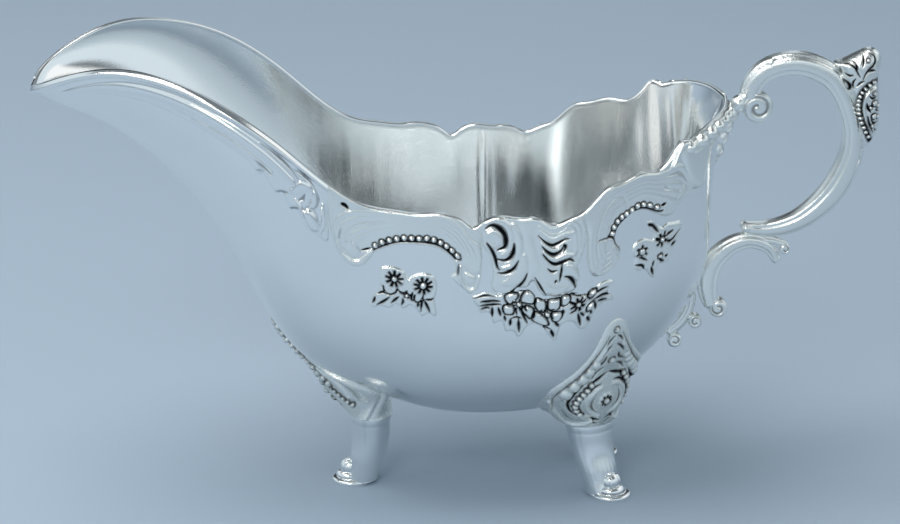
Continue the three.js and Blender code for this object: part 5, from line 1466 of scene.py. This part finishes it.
@dataclass
class Shield:
    """The crowned shield on the outside of the grip. Each rib is rise, back, front and half width."""

    middle: Array
    ribs: tuple[Row, ...] = (
        (0.2, 0, 3.8, 3.2), (3, -0.3, 5.4, 4.7), (6, -0.4, 6.2, 5.4), (11.5, -1.5, 6.4, 5.9), (15, -2.8, 6.2, 5.9),
        (18, -4.8, 5.9, 5.5), (21, -5.4, 5.9, 5.6), (22.6, -6.2, 6.2, 5.6), (23.9, -6.9, 6.4, 5.4),
        (24.7, -4.4, 6.4, 5), (25.6, -2.6, 6.2, 4.4), (26.7, -0.4, 5.8, 3.4), (27.7, 1.6, 4.6, 2))
    rows: int = 150
    sides: int = 240

    def skin(self) -> Skin:
        """Builds the closed shield, its relief drawn in the side view and mirrored."""
        ribs = np.array(self.ribs)
        rise = np.linspace(ribs[0, 0], ribs[-1, 0], self.rows + 1)
        fine = smooth_line(ribs, sub=20)
        back, front, width = (np.interp(rise, fine[:, 0], fine[:, k]) for k in (1, 2, 3))
        angle = circle(self.sides)[None, :]
        half, centre = ((front - back) / 2)[:, None], ((front + back) / 2)[:, None]
        x = centre + half * np.cos(angle)
        y = width[:, None] * np.sin(angle)
        relief = Relief.carved((-9, -1), (8, 28.5), 0.14, self.draw, (0.8, 0.6))
        proud, patina = relief.at(x, np.broadcast_to(rise[:, None], x.shape))
        flank = np.abs(np.sin(angle)) ** 0.5
        normal = np.stack([np.cos(angle) * width[:, None], np.sin(angle) * half, 0 * x], -1)
        p = np.stack([self.middle[0] + x, y, self.middle[1] + np.broadcast_to(rise[:, None], x.shape)], -1)
        p += unit(normal) * (proud * flank)[..., None]
        lift = np.array([0, 0, 0.4])
        return tube(p, p[0].mean(0) - lift, p[-1].mean(0) + lift, held(patina * flank), turned=True)

    @staticmethod
    def draw(r: Relief) -> None:
        """Draws the shield's side view: crown, row of beads, oval and its flowers."""
        beads = [(4, 18.9), (2.6, 18.3), (1.4, 17.4), (0.5, 16.4), (0, 15.2), (-0.2, 13.9), (-0.2, 12.6), (-0.1, 11.3),
                 (0.1, 10), (0.5, 8.7), (0.9, 7.4), (1.5, 6.1), (2.1, 4.8), (2.8, 3.5)]
        r.groove([(5.2, 19.2), *beads, (3.4, 2.4)], 0.95, 0.3, 1.0, taper=(1, 1))
        r.ridge([(4.6, 17.3), (2.6, 16.5), (1.5, 15), (1.1, 12.6), (1.5, 10), (2.4, 7.4), (4, 4.6)], 0.42, 0.6, 0)
        for place in beads:
            r.bead(place, 0.6, 0.75, 0.1, 0.2)
        for line, half in (
                ([(-5.8, 19.4), (-4.6, 19.4), (-3.1, 18.4), (-3, 17.2), (-3.6, 16.4)], 0.6),
                ([(-5.6, 23), (-5.2, 21.2), (-5.4, 19.9)], 0.4), ([(-4.4, 21.7), (-3.2, 21), (-2.1, 21.3)], 0.34),
                ([(-4.9, 24.2), (-3.4, 24.3), (-2, 23.6), (-1.4, 22.4)], 0.36),
                ([(-2.6, 25.2), (-1.6, 24.4), (-1, 23)], 0.36), ([(0.6, 27), (0.7, 25.4), (0.4, 23.6)], 0.34),
                ([(2.6, 27), (3.8, 26.4), (4.2, 25.2), (3.7, 23.9), (2.4, 22.9), (1.3, 21.6), (0.6, 20)], 0.4),
                ([(2.3, 22.2), (3.2, 22.5), (4.4, 22.2)], 0.42), ([(1.2, 19.6), (0, 19.2), (-1.2, 18)], 0.32),
                ([(-0.2, 20.6), (-1.2, 22.4), (-1.4, 24)], 0.3), ([(-1.4, 20.4), (-2.2, 19), (-2, 17.4)], 0.3),
                ([(1.9, 13.4), (2.2, 11.9), (3.2, 10.6)], 0.4), ([(2.2, 9.6), (2.8, 7.4), (4, 4.8)], 0.4),
                ([(2.6, 15.4), (3.6, 14.6), (5, 14.8)], 0.36), ([(4.6, 11.4), (5.6, 10.6)], 0.36),
                ([(3.2, 8.6), (4.4, 7.4), (5.4, 7.8)], 0.34), ([(4.4, 5.8), (5.2, 5)], 0.3)):
            r.groove(line, half, 0.4, 1.0)
        r.bead((2.1, 25.3), 0.5, 0.35, 0, 0.3)
        for a, b, radius in ((4.3, 13.1, 0.8), (4.2, 9.4, 0.8), (3, 12, 0.5), (5.4, 12.2, 0.5), (5.4, 9, 0.5),
                             (3.7, 6.6, 0.5), (4.2, 15.8, 0.5)):
            r.bead((a, b), radius, 0.5, 0, 0.35)


# Feet


def met(origins: Array, direction: Array) -> Array:
    """Finds where lines through points, all in one direction, meet the hull nearest to their start.

    Args:
        origins: rows of points outside or near the hull.
        direction: the direction of travel, into the hull.

    Returns:
        Rows of (u, t).
    """
    d = unit(np.asarray(direction, float))
    e = unit(np.cross(d, [0.3, 1, 0.2]))
    f = np.cross(d, e)
    coarse_u, coarse_t = (g.reshape(-1) for g in np.meshgrid(np.linspace(-115, 84, 100), np.linspace(-0.9, 0.9, 61)))
    points, facing = HULL.point(coarse_u, coarse_t), HULL.normal(coarse_u, coarse_t) @ d < -0.15
    coarse_u, coarse_t, points = coarse_u[facing], coarse_t[facing], points[facing]
    found = np.zeros((len(origins), 2))
    for low in range(0, len(origins), 2000):
        o = origins[low:low + 2000]
        gap = (((points @ e)[None] - (o @ e)[:, None]) ** 2 + ((points @ f)[None] - (o @ f)[:, None]) ** 2
               + 0.002 * ((points @ d)[None] - (o @ d)[:, None]) ** 2)
        best = gap.argmin(1)
        u, t = coarse_u[best].copy(), coarse_t[best].copy()

        def miss(u: Array, t: Array, o: Array = o) -> Array:
            """Returns how far the hull point lies from the line, along e and f."""
            q = HULL.point(u, t) - o
            return np.stack([q @ e, q @ f], -1)

        for _ in range(8):
            here = miss(u, t)
            by_u = (miss(u + 0.05, t) - here) / 0.05
            by_t = (miss(u, t + 0.001) - here) / 0.001
            det = by_u[:, 0] * by_t[:, 1] - by_u[:, 1] * by_t[:, 0]
            det = np.where(np.abs(det) < 1e-6, 1e-6, det)
            du = (here[:, 0] * by_t[:, 1] - here[:, 1] * by_t[:, 0]) / det
            dt = (here[:, 1] * by_u[:, 0] - here[:, 0] * by_u[:, 1]) / det
            u = np.clip(u - np.clip(du, -6, 6), HULL.first + 1, HULL.last - 1)
            t = np.clip(t - np.clip(dt, -0.08, 0.08), -0.99, 0.99)
        found[low:low + 2000] = np.stack([u, t], -1)
    return found


@dataclass
class Seat:
    """A flat patch tangent to the hull over a plan point, its first axis climbing towards turn."""

    x: float
    y: float
    turn: float

    def __post_init__(self) -> None:
        """Finds the patch's origin and axes."""
        self.origin = self.under(0, 0)
        slope_x = self.under(2, 0) - self.under(-2, 0)
        slope_y = self.under(0, 2) - self.under(0, -2)
        self.out = unit(np.cross(slope_y, slope_x))
        plan = np.array([math.cos(self.turn), math.sin(self.turn), 0])
        self.up = unit(plan - self.out * (plan @ self.out))
        self.side = np.cross(self.out, self.up)

    def under(self, dx: float, dy: float) -> Array:
        """Returns the underside of the hull over a plan point."""
        u, t = met(np.array([[self.x + dx + HULL.shift, self.y + dy, 0.0]]), np.array([0, 0, 1.0]))[0]
        return HULL.point(u, t)

    def foot(self, a: Array, b: Array) -> Array:
        """Returns the hull's points at (a, b)."""
        flat = self.origin + a[..., None] * self.up + b[..., None] * self.side
        ut = met((flat + 15 * self.out).reshape(-1, 3), -self.out)
        return HULL.point(ut[:, 0], ut[:, 1]).reshape(flat.shape)


@dataclass
class Leg:
    """A scrolled leg on its pad, standing on the table and leaning towards its toe.

    sections are height, place towards the toe, half depth and half width.
    """

    x: float
    y: float
    turn: float
    lean: float
    knee_height: float = 20.7
    sections: tuple[Row, ...] = (
        (21.3, -0.1, 6.2, 7.9), (20.7, -0.1, 6.1, 7.8), (18.7, -0.1, 5.8, 7.5), (15.1, -0.2, 5.5, 6.9),
        (11.6, 0.1, 5.3, 6.5), (8, 0.8, 5.2, 6.1), (4.4, 1.7, 4.7, 5.6), (1, 2.8, 4.7, 5.2))
    rows: int = 90
    sides: int = 120
    toe_forward: float = 6.1
    toe_height: float = 4.2
    toe_radius: float = 2.5
    toe_half: float = 2.3
    sole_height: float = 2.1
    sole_radius: float = 3.0
    sole_scale: Triple = (1.3, 1.3, 0.63)
    flute_height: float = 7.5
    lip_height: float = 20.2
    line_height: float = 18.9
    pad_forward: float = 5.4
    pad_radius: float = 5.7
    pad_height: float = 1.8

    def place(self, forward: Array | float, sideways: Array | float, z: Array | float) -> Array:
        """Returns points from their place towards the toe, to the side, and height."""
        ahead = forward + self.lean * (1 - z / self.knee_height)
        c, s = math.cos(self.turn), math.sin(self.turn)
        return np.stack([self.x + ahead * c - sideways * s, self.y + ahead * s + sideways * c, z + 0 * ahead], -1)

    def ring(self, z: float, proud: float, angle: Array) -> Array:
        """Returns the leg's section at a height, grown by proud."""
        rows = np.array(self.sections)[::-1]
        forward, depth, width = (np.interp(z, rows[:, 0], rows[:, k]) for k in (1, 2, 3))
        return self.place(forward + (depth + proud) * np.cos(angle), (width + proud) * np.sin(angle),
                          np.full(angle.shape, float(z)))

    def skin(self) -> Skin:
        """Builds the leg, its toe scroll and its pad."""
        fine = smooth_line(np.array(self.sections)[::-1], sub=12)
        z = np.linspace(self.sections[-1][0], self.sections[0][0], self.rows + 1)
        forward, depth, width = (np.interp(z, fine[:, 0], fine[:, k])[:, None] for k in (1, 2, 3))
        angle = circle(self.sides)[None, :]
        height = z[:, None] + 0 * angle
        front = held(np.cos(angle))
        flutes = np.cos(angle * 12) ** 2 * held(1 - np.abs(height - self.flute_height) / 5) * front**0.5
        off = height - self.line_height
        lip = 0.08 * bell(height - self.lip_height, 0.7) - 0.06 * bell(off, 0.5)
        seam = bell(np.abs(np.sin(angle)) - 0.93, 0.04) * held((height - 9) / 6)
        seam = 0.12 * seam * (np.cos(angle) > 0)
        proud = 0.12 * flutes + lip - seam
        between = 0.12 * (1 - flutes) * held(1 - np.abs(height - self.flute_height) / 4) * front
        patina = 0.12 * bell(off, 0.4) + seam + between
        p = self.place(forward + (depth + proud) * np.cos(angle), (width + proud) * np.sin(angle), height)
        made = tube(p, p[0].mean(0), p[-1].mean(0), held(patina))
        return made.joined(self.toe(), self.sole(), self.pad())

    def sole(self) -> Skin:
        """Builds the rounded lump between the toe and the pad."""
        low, high = (self.place(self.toe_forward, 0.0, z) for z in (self.sole_height, self.toe_height))
        return ball(*low, self.sole_radius, self.sole_scale).joined(ball(*high, self.toe_radius * 1.12))

    def toe(self) -> Skin:
        """Builds the rolled toe."""
        drum = Curl(0, 0, self.toe_radius, self.toe_half, turns=1.1, start=2.4, hand=-1, relief=0.4).skin()
        p = drum.xyz()
        centre = self.place(self.toe_forward, 0.0, self.toe_height)
        c, s = math.cos(self.turn), math.sin(self.turn)
        turned = np.stack([p[:, 0] * c - p[:, 1] * s, p[:, 0] * s + p[:, 1] * c, p[:, 2]], -1) + centre
        made = Skin()
        made.add(turned, np.concatenate(drum.patina))
        made.faces = drum.faces
        return made.closed()

    def pad(self) -> Skin:
        """Builds the round pad with its bevelled and rounded edge."""
        profile = np.array([(0.96, 0), (0.99, 0.12), (1, 0.35), (1, 0.8), (0.985, 1.1), (0.95, 1.35), (0.9, 1.5),
                            (0.86, 1.62), (0.8, 1.75), (0.7, 1.8)])
        angle = circle(96)
        centre = self.place(self.pad_forward, 0.0, 0.0)
        x = self.pad_radius * profile[:, :1] * np.cos(angle)
        y = self.pad_radius * profile[:, :1] * np.sin(angle)
        p = np.stack([centre[0] + x, centre[1] + y, np.broadcast_to(profile[:, 1:], x.shape)], -1)
        patina = np.where(np.abs(profile[:, 1:] - 1.55) < 0.1, 0.25, 0.0) + 0 * x
        low, high = (np.array([centre[0], centre[1], level]) for level in (0, self.pad_height))
        return tube(p, low, high, patina)


@dataclass
class Knee:
    """A cast shield on the bowl that swells down to a leg."""

    seat: Seat
    leg: Leg
    width: float
    climb: float
    draw: Callable[[Relief], None]
    half: tuple[Pair, ...] = (
        (-20, 0.54), (-16, 0.78), (-11.5, 0.96), (-7, 1), (-2.5, 0.9), (3, 0.64), (8, 0.42), (12, 0.34), (16.5, 0.3),
        (19.8, 0.19))
    tip: float = 21.3
    swell_climb: float = 7.0
    plate: float = 1.2
    columns: int = 300
    rows: int = 90
    bottom: float = 21.05
    moulding: float = 0.15

    def outline(self) -> Array:
        """Returns the shield's outline as evenly spaced rows of (a, b)."""
        half = [(a * self.climb if a > 0 else a, b * self.width) for a, b in self.half]
        loop = half + [(self.tip * self.climb, 0)] + [(a, -b) for a, b in reversed(half)]
        path = smooth_line(np.array(loop, float), closed=True, sub=12)
        path = np.vstack([path, path[:1]])
        run = np.concatenate([[0], np.cumsum(np.linalg.norm(np.diff(path, axis=0), axis=1))])
        even = np.linspace(0, run[-1], self.columns, endpoint=False)
        return np.stack([np.interp(even, run, path[:, k]) for k in (0, 1)], 1)

    def loft(self) -> tuple[Array, Array, Array]:
        """Lays the knee's smooth surface from the leg out to the shield's edge.

        Returns:
            The hull's points below it, its own points, and the share of the way out of each row.
        """
        seat = self.seat
        turns = np.linspace(0, math.tau, 361)
        low = self.leg.ring(self.bottom, self.moulding, turns)
        flat = low - seat.origin
        ring = np.stack([flat @ seat.up, flat @ seat.side], 1)
        centre = ring[:-1].mean(0)
        rim = self.outline()
        polar = np.unwrap(np.arctan2(ring[:, 1] - centre[1], ring[:, 0] - centre[0]))
        if polar[-1] < polar[0]:
            polar, turns = polar[::-1], turns[::-1]
        wanted = np.arctan2(rim[:, 1] - centre[1], rim[:, 0] - centre[0])
        wanted = polar[0] + np.mod(wanted - polar[0], math.tau)
        start = self.leg.ring(self.bottom, self.moulding, np.interp(wanted, polar, turns))
        from_seat = start - seat.origin
        a0, b0 = from_seat @ seat.up, from_seat @ seat.side
        s = np.linspace(0, 1, self.rows + 1)[:, None]
        foot = seat.foot(a0 + (rim[:, 0] - a0) * s, b0 + (rim[:, 1] - b0) * s)
        start_height = (start - foot[0]) @ seat.out
        length = np.hypot(rim[:, 0] - a0, rim[:, 1] - b0)
        upward = np.clip((rim[:, 0] - a0) / np.maximum(length, 1e-6), 0.02, 1)
        limit = np.minimum(0.93 * length, np.maximum(self.swell_climb * self.climb - a0, 2) / upward)
        k = held(s * length / limit)
        swell = start_height * (1 - k**1.15) ** 1.1
        slab = self.plate * held(1 - s**12) ** 0.5
        height = (np.maximum(swell, 0) ** 3 + slab**3) ** (1 / 3)
        height[0] = start_height
        p = foot + height[..., None] * seat.out
        p[0] = start
        return foot, p, s

    def skin(self) -> Skin:
        """Builds the closed knee."""
        seat = self.seat
        foot, p, s = self.loft()
        start = p[0].copy()
        low, high = (-26, -self.width - 3), (self.tip * self.climb + 2, self.width + 3)
        relief = Relief.carved(low, high, 0.2, self.draw, (0.7, 0.5))
        local = p - seat.origin
        proud, patina = relief.at(local @ seat.up, local @ seat.side)
        across = np.roll(p, -1, 1) - np.roll(p, 1, 1)
        normal = unit(np.cross(np.gradient(p, axis=0), across))
        if (normal[self.rows // 2] @ seat.out).mean() < 0:
            normal = -normal
        ease = held(s / 0.05) * held((1 - s) / 0.02)
        p = p + normal * (proud * ease)[..., None]
        p[0] = start
        edge = foot[-1] + SUNK * seat.out
        under = [foot[int(self.rows * r)] + BACKING * seat.out for r in (1, 0.75, 0.5, 0.25, 0)]
        stain = np.vstack([patina * ease, np.zeros((6, self.columns))])
        return tube(np.stack([*p, edge, *under]), p[0].mean(0), under[-1].mean(0), stain)


def sided(side: int, *points: Pair) -> list[Pair]:
    """Returns points put on a side of the knee."""
    return [(a, side * b) for a, b in points]


def draw_front_knee(r: Relief) -> None:
    """Draws the beads and pits that run down the front knee, and its rolled edges."""
    for side in (-1, 1):
        at = partial(sided, side)
        r.ridge(at((4, 7.2), (0.5, 9), (-4, 10.3), (-9, 10.6), (-14, 9.4), (-18, 7.4)), 0.8, 0.75, 0)
        r.groove(at((3.4, 5.8), (0.3, 7.6), (-4, 8.9), (-9, 9.2), (-13.4, 8.4)), 0.36, 0.35, 0.35)
        r.ridge(at((2.4, 5), (-1.5, 6.8), (-5.6, 7.6), (-10, 7.8)), 0.9, 0.6, 0)
        for k in range(8):
            r.bead((-1.6 - 1.5 * k, side * (3.2 + 0.55 * k)), 0.62, 0.75, 0.1, 0.3, 0.85)
        r.groove(at((17.6, 1.6), (12, 2.0), (6, 2.2), (0, 2.6), (-3, 2.8)), 0.4, 0.4, 0.9)
        for k in range(11):
            r.bead((17.2 - 2.05 * k, side * (2.5 + 0.24 * k)), 0.95, 1.0, 0.1, 0.35, 0.75)
            r.bead((18.4 - 2.6 * k, side * 0.75), 1.15, 1.15 + 0.25 * math.sin(2.3 * k), 0.1, 0.35, 0.6)
        for k in range(3):
            r.groove(at((-6 - 1.6 * k, 0.6), (-7.6 - 1.6 * k, 2.2 + 0.5 * k)), 0.32, 0.35, 0.8)


def draw_rear_knee(r: Relief) -> None:
    """Draws the leaf edges, beads, oval band and ring flower of a rear knee."""
    for side in (-1, 1):
        at = partial(sided, side)
        r.groove(at((-9.5, 12.6), (-5, 14), (-1.5, 13.6), (1.8, 12), (5.5, 9.6), (9, 7.6), (13.3, 5.4), (16.9, 3.6),
                    (20, 2.2)), 0.32, 0.4, 0.75)
        r.ridge(at((-4, 12.2), (0, 11), (4, 8.6), (8, 6.4), (12, 4.6), (15.4, 3)), 1.2, 0.5, 0)
        for a, b, radius in ((-1.6, 11.4, 1.9), (1.8, 10, 1.7), (4.8, 8.2, 1.6), (7.6, 6.6, 1.5), (10.4, 5.2, 1.3)):
            r.bead((a, side * b), radius, 1.1, 0.1, 0.12, 0.2)
        r.ridge(at((-6, 14.6), (-10, 12.8), (-14.6, 9.8), (-16, 7), (-14, 4.6), (-11.6, 3)), 0.9, 0.9, 0)
        r.groove(at((-9, 11), (-12.6, 8.8), (-13.6, 6.6), (-12, 4.8)), 0.4, 0.4, 0.5)
        r.groove(at((2.9, 5.8), (4, 3.1), (5.3, 0.3)), 0.5, 0.5, 1.0)
        r.groove(at((4.6, 5.4), (6.6, 4.2), (8.2, 2.2)), 0.4, 0.45, 0.9)
        r.groove(at((9, 4.4), (10.4, 2.6), (12.6, 2)), 0.45, 0.45, 0.9)
        r.groove(at((13, 3.4), (14.8, 2.4), (16.4, 0.8)), 0.4, 0.45, 0.9)
        r.groove(at((17, 2.6), (18.6, 1.6), (19.6, 0.4)), 0.36, 0.4, 0.85)
        r.ridge(at((0.8, 1.8), (0.2, 3.8), (-1.6, 5.3), (-4.2, 5.9), (-6.8, 5.2), (-8.8, 3.4), (-9.4, 1.6)),
                0.8, 0.5, 0)
        r.groove(at((2, 2), (1.4, 4.4), (-0.8, 6.4)), 0.36, 0.45, 1.0)
        r.groove(at((-2, 4.2), (-4.4, 4.7), (-6.6, 4), (-7.8, 2.4)), 0.3, 0.3, 0.7)
        r.groove(at((-10.4, 3.8), (-11.4, 2.2), (-11.8, 0.6)), 0.42, 0.45, 0.9)
        r.groove(at((-12.4, 3.2), (-13.4, 2.2), (-13.8, 1)), 0.36, 0.4, 0.8)
        r.groove(at((3.4, 7.4), (0.8, 8.6), (-2.4, 10), (-5.6, 10.4), (-8.6, 9.2), (-10.4, 7)), 0.44, 0.45, 1.0)
        for place in ((2.7, 5.2), (1, 6.1), (-0.7, 6.9), (-2.4, 7.7), (-4.2, 8.2), (-5.9, 8.2), (-7.5, 7.6), (-9, 6.5)):
            r.bead((place[0], side * (place[1] + 0.3)), 0.82, 0.95, 0.1, 0.3)
    r.flower((-4, 0.2), 2.5, 8, 0.9, heart=0.95, turn=0.2)
    r.bead((10.4, 0), 1.0, 0.9, 0.1, 0.3)
    r.bead((21.4, 0), 0.8, 0.8, 0.1, 0.3)


REAR_HALF = ((-20, 0.54), (-16, 0.78), (-11.5, 0.96), (-7, 1), (-2.5, 1), (1, 0.93), (5.7, 0.7), (10.5, 0.48),
             (14, 0.36), (17, 0.28), (19.8, 0.19))
REAR_TURN = math.radians(50)
FRONT_LEG = Leg(-25.2, 0, math.pi, 0)
REAR_LEG = Leg(42.6 - 9 * math.cos(REAR_TURN), -17 + 9 * math.sin(REAR_TURN), -REAR_TURN, 3, toe_forward=5.8)


@dataclass
class Feet:
    """The front foot and the mirrored pair behind, each a knee soldered on the bowl and a leg."""

    front_width: float = 11.5
    rear_width: float = 15.6
    rear_climb: float = 1.14

    def build(self) -> None:
        """Makes the knees and legs."""
        front = Knee(Seat(-38.3, 0, math.pi), FRONT_LEG, self.front_width, 1, draw_front_knee)
        rear = Knee(Seat(38, -23, -math.radians(60)), REAR_LEG, self.rear_width, self.rear_climb, draw_rear_knee,
                    REAR_HALF)
        dress(front.skin(), "front_knee", FOOT_SILVER, Slot.OXIDISED)
        dress(FRONT_LEG.skin(), "front_leg", BODY_SILVER, Slot.SILVER)
        knee, leg = rear.skin(), REAR_LEG.skin()
        for side in Side:
            dress_side(side, knee, "rear_knee", FOOT_SILVER, Slot.OXIDISED)
            dress_side(side, leg, "rear_leg", BODY_SILVER, Slot.SILVER)


# Studio


ROOM_STOPS = [(0.0, (0.30, 0.37, 0.44)), (0.5, (0.38, 0.46, 0.53)), (0.59, (0.50, 0.60, 0.67)),
              (0.65, (0.68, 0.78, 0.85)), (0.8, (0.68, 0.78, 0.85)), (0.85, (0.17, 0.20, 0.22)),
              (1.0, (0.17, 0.20, 0.22))]     # the room's colours by height: 0 straight down, 0.5 level, 1 straight up
CURTAINS = [(0.22, 0.5), (-0.45, 0.06)]      # the two dim parts behind, by the X of their edges
CURTAIN_COLOUR = (0.05, 0.06, 0.065)
SKYLIGHT_COLOUR = (0.95, 0.98, 1.0)
PAPER_COLOURS = ((0.385, 0.466, 0.552), (0.412, 0.496, 0.584))
LAMPS = [("overhead", (-0.4, -0.06, 1.15), 0.9, 9.7, (0, 0, 0.06)),
         ("window", (-0.35, -0.95, 0.75), 0.35, 2.4, (-0.05, -0.4, 0))]      # as Studio.lamp takes them


@dataclass
class Studio:
    """A pale table, soft lamps, and the camera of the photograph."""

    azimuth: float = -3.63
    elevation: float = 18.0
    distance: float = 0.911
    lens: float = 129.4
    target: Triple = (-0.0024, 0.0, 0.0653)
    table_reach: float = 3000.0

    def camera(self) -> None:
        """Places the camera."""
        data = bpy.data.cameras.new("camera")
        data.lens, data.sensor_width, data.clip_start, data.clip_end = self.lens, 36, 0.05, 50
        camera = put("camera", data)
        az, el = math.radians(self.azimuth), math.radians(self.elevation)
        back = Vector((math.sin(az) * math.cos(el), -math.cos(az) * math.cos(el), math.sin(el)))
        camera.location = Vector(self.target) + back * self.distance
        camera.rotation_euler = back.to_track_quat("Z", "Y").to_euler()
        bpy.context.scene.camera = camera

    def table(self) -> None:
        """Lays the table."""
        span = np.linspace(-self.table_reach, self.table_reach, 3)
        made = Skin()
        made.sheet(made.add(np.array([[(x, y, 0) for x in span] for y in span])), flip=True)
        sheet = made.build("table")
        sheet.data.materials.append(self.paper())

    @staticmethod
    def paper() -> bpy.types.Material:
        """Returns the matt blue-grey paper of the table."""
        made = bpy.data.materials.new("blue_grey_paper")
        made.use_nodes = True
        tree = made.node_tree
        bsdf = tree.nodes["Principled BSDF"]
        bsdf.inputs["Roughness"].default_value = 0.85
        place, ramp, noise = (tree.nodes.new(kind) for kind in ("ShaderNodeTexCoord", "ShaderNodeValToRGB",
                                                               "ShaderNodeTexNoise"))
        noise.inputs["Scale"].default_value = 1.2
        for stop, position, colour in zip(ramp.color_ramp.elements, (0.3, 0.7), PAPER_COLOURS):
            stop.position, stop.color = position, (*colour, 1)
        tree.links.new(place.outputs["Object"], noise.inputs["Vector"])
        tree.links.new(noise.outputs["Fac"], ramp.inputs["Fac"])
        tree.links.new(ramp.outputs["Color"], bsdf.inputs["Base Color"])
        return made

    @staticmethod
    def lamp(name: str, place: Triple, size: float, power: float,
             towards: Triple) -> None:
        """Hangs a soft square lamp.

        Args:
            name: its name.
            place: its place in metres.
            size: its side.
            power: its power in watts.
            towards: the place that it faces.
        """
        data = bpy.data.lights.new(name, "AREA")
        data.shape, data.size, data.energy = "SQUARE", size, power
        lamp = put(name, data)
        lamp.location = place
        lamp.rotation_euler = (Vector(place) - Vector(towards)).to_track_quat("Z", "Y").to_euler()

    @staticmethod
    def world() -> None:
        """Fills the room with soft light: pale walls, a dim ceiling, two dim curtains behind and a skylight."""
        world = bpy.data.worlds.new("room")
        world.use_nodes = True
        nodes = Nodes(world.node_tree)
        out, shade, place, split, ramp = (nodes.add(f"ShaderNode{kind}") for kind in (
            "OutputWorld", "Background", "TexCoord", "SeparateXYZ", "ValToRGB"))
        nodes.link(place.outputs["Generated"], split.inputs[0])

        def inside(*edges: tuple[str, float, float]) -> Socket:
            """Returns how far a direction lies past all edges, each an axis and where it begins and is full."""
            return reduce(partial(nodes.worked, "MULTIPLY"),
                          [nodes.ranged(split.outputs[axis], begins, full) for axis, begins, full in edges])

        nodes.link(inside(("Z", -1, 1)), ramp.inputs["Fac"])
        stops = ramp.color_ramp.elements
        stops[0].position, stops[1].position = ROOM_STOPS[0][0], ROOM_STOPS[-1][0]
        for position, _ in ROOM_STOPS[1:-1]:
            stops.new(position)
        for stop, (_, colour) in zip(stops, ROOM_STOPS):
            stop.color = (*colour, 1)
        curtains = nodes.worked("ADD", *(inside(("X", a, a + 0.04), ("X", b, b - 0.04)) for a, b in CURTAINS))
        behind = inside(("Y", 0.2, 0.3), ("Z", 0.66, 0.6), ("Z", 0.09, 0.13))
        room = nodes.mixed(nodes.worked("MULTIPLY", curtains, behind), ramp.outputs["Color"], CURTAIN_COLOUR)
        skylight = inside(("X", 0.52, 0.56), ("Z", 0.5, 0.54), ("Y", -0.1, 0.0))
        nodes.link(nodes.mixed(skylight, room, SKYLIGHT_COLOUR), shade.inputs["Color"])
        shade.inputs["Strength"].default_value = 1.0
        nodes.link(shade.outputs[0], out.inputs[0])
        bpy.context.scene.world = world

    def build(self) -> None:
        """Sets the stage."""
        self.camera()
        self.table()
        self.world()
        for lamp in LAMPS:
            self.lamp(*lamp)
        bpy.context.scene.view_settings.view_transform = "Standard"


def main() -> None:
    """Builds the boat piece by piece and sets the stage."""
    logging.basicConfig(level=logging.INFO, format="%(name)s %(message)s")
    Studio().build()
    Bowl().build()
    for casting in CASTINGS:
        casting.build()
    Handle().build()
    Feet().build()


if __name__ == "__main__":
    main()
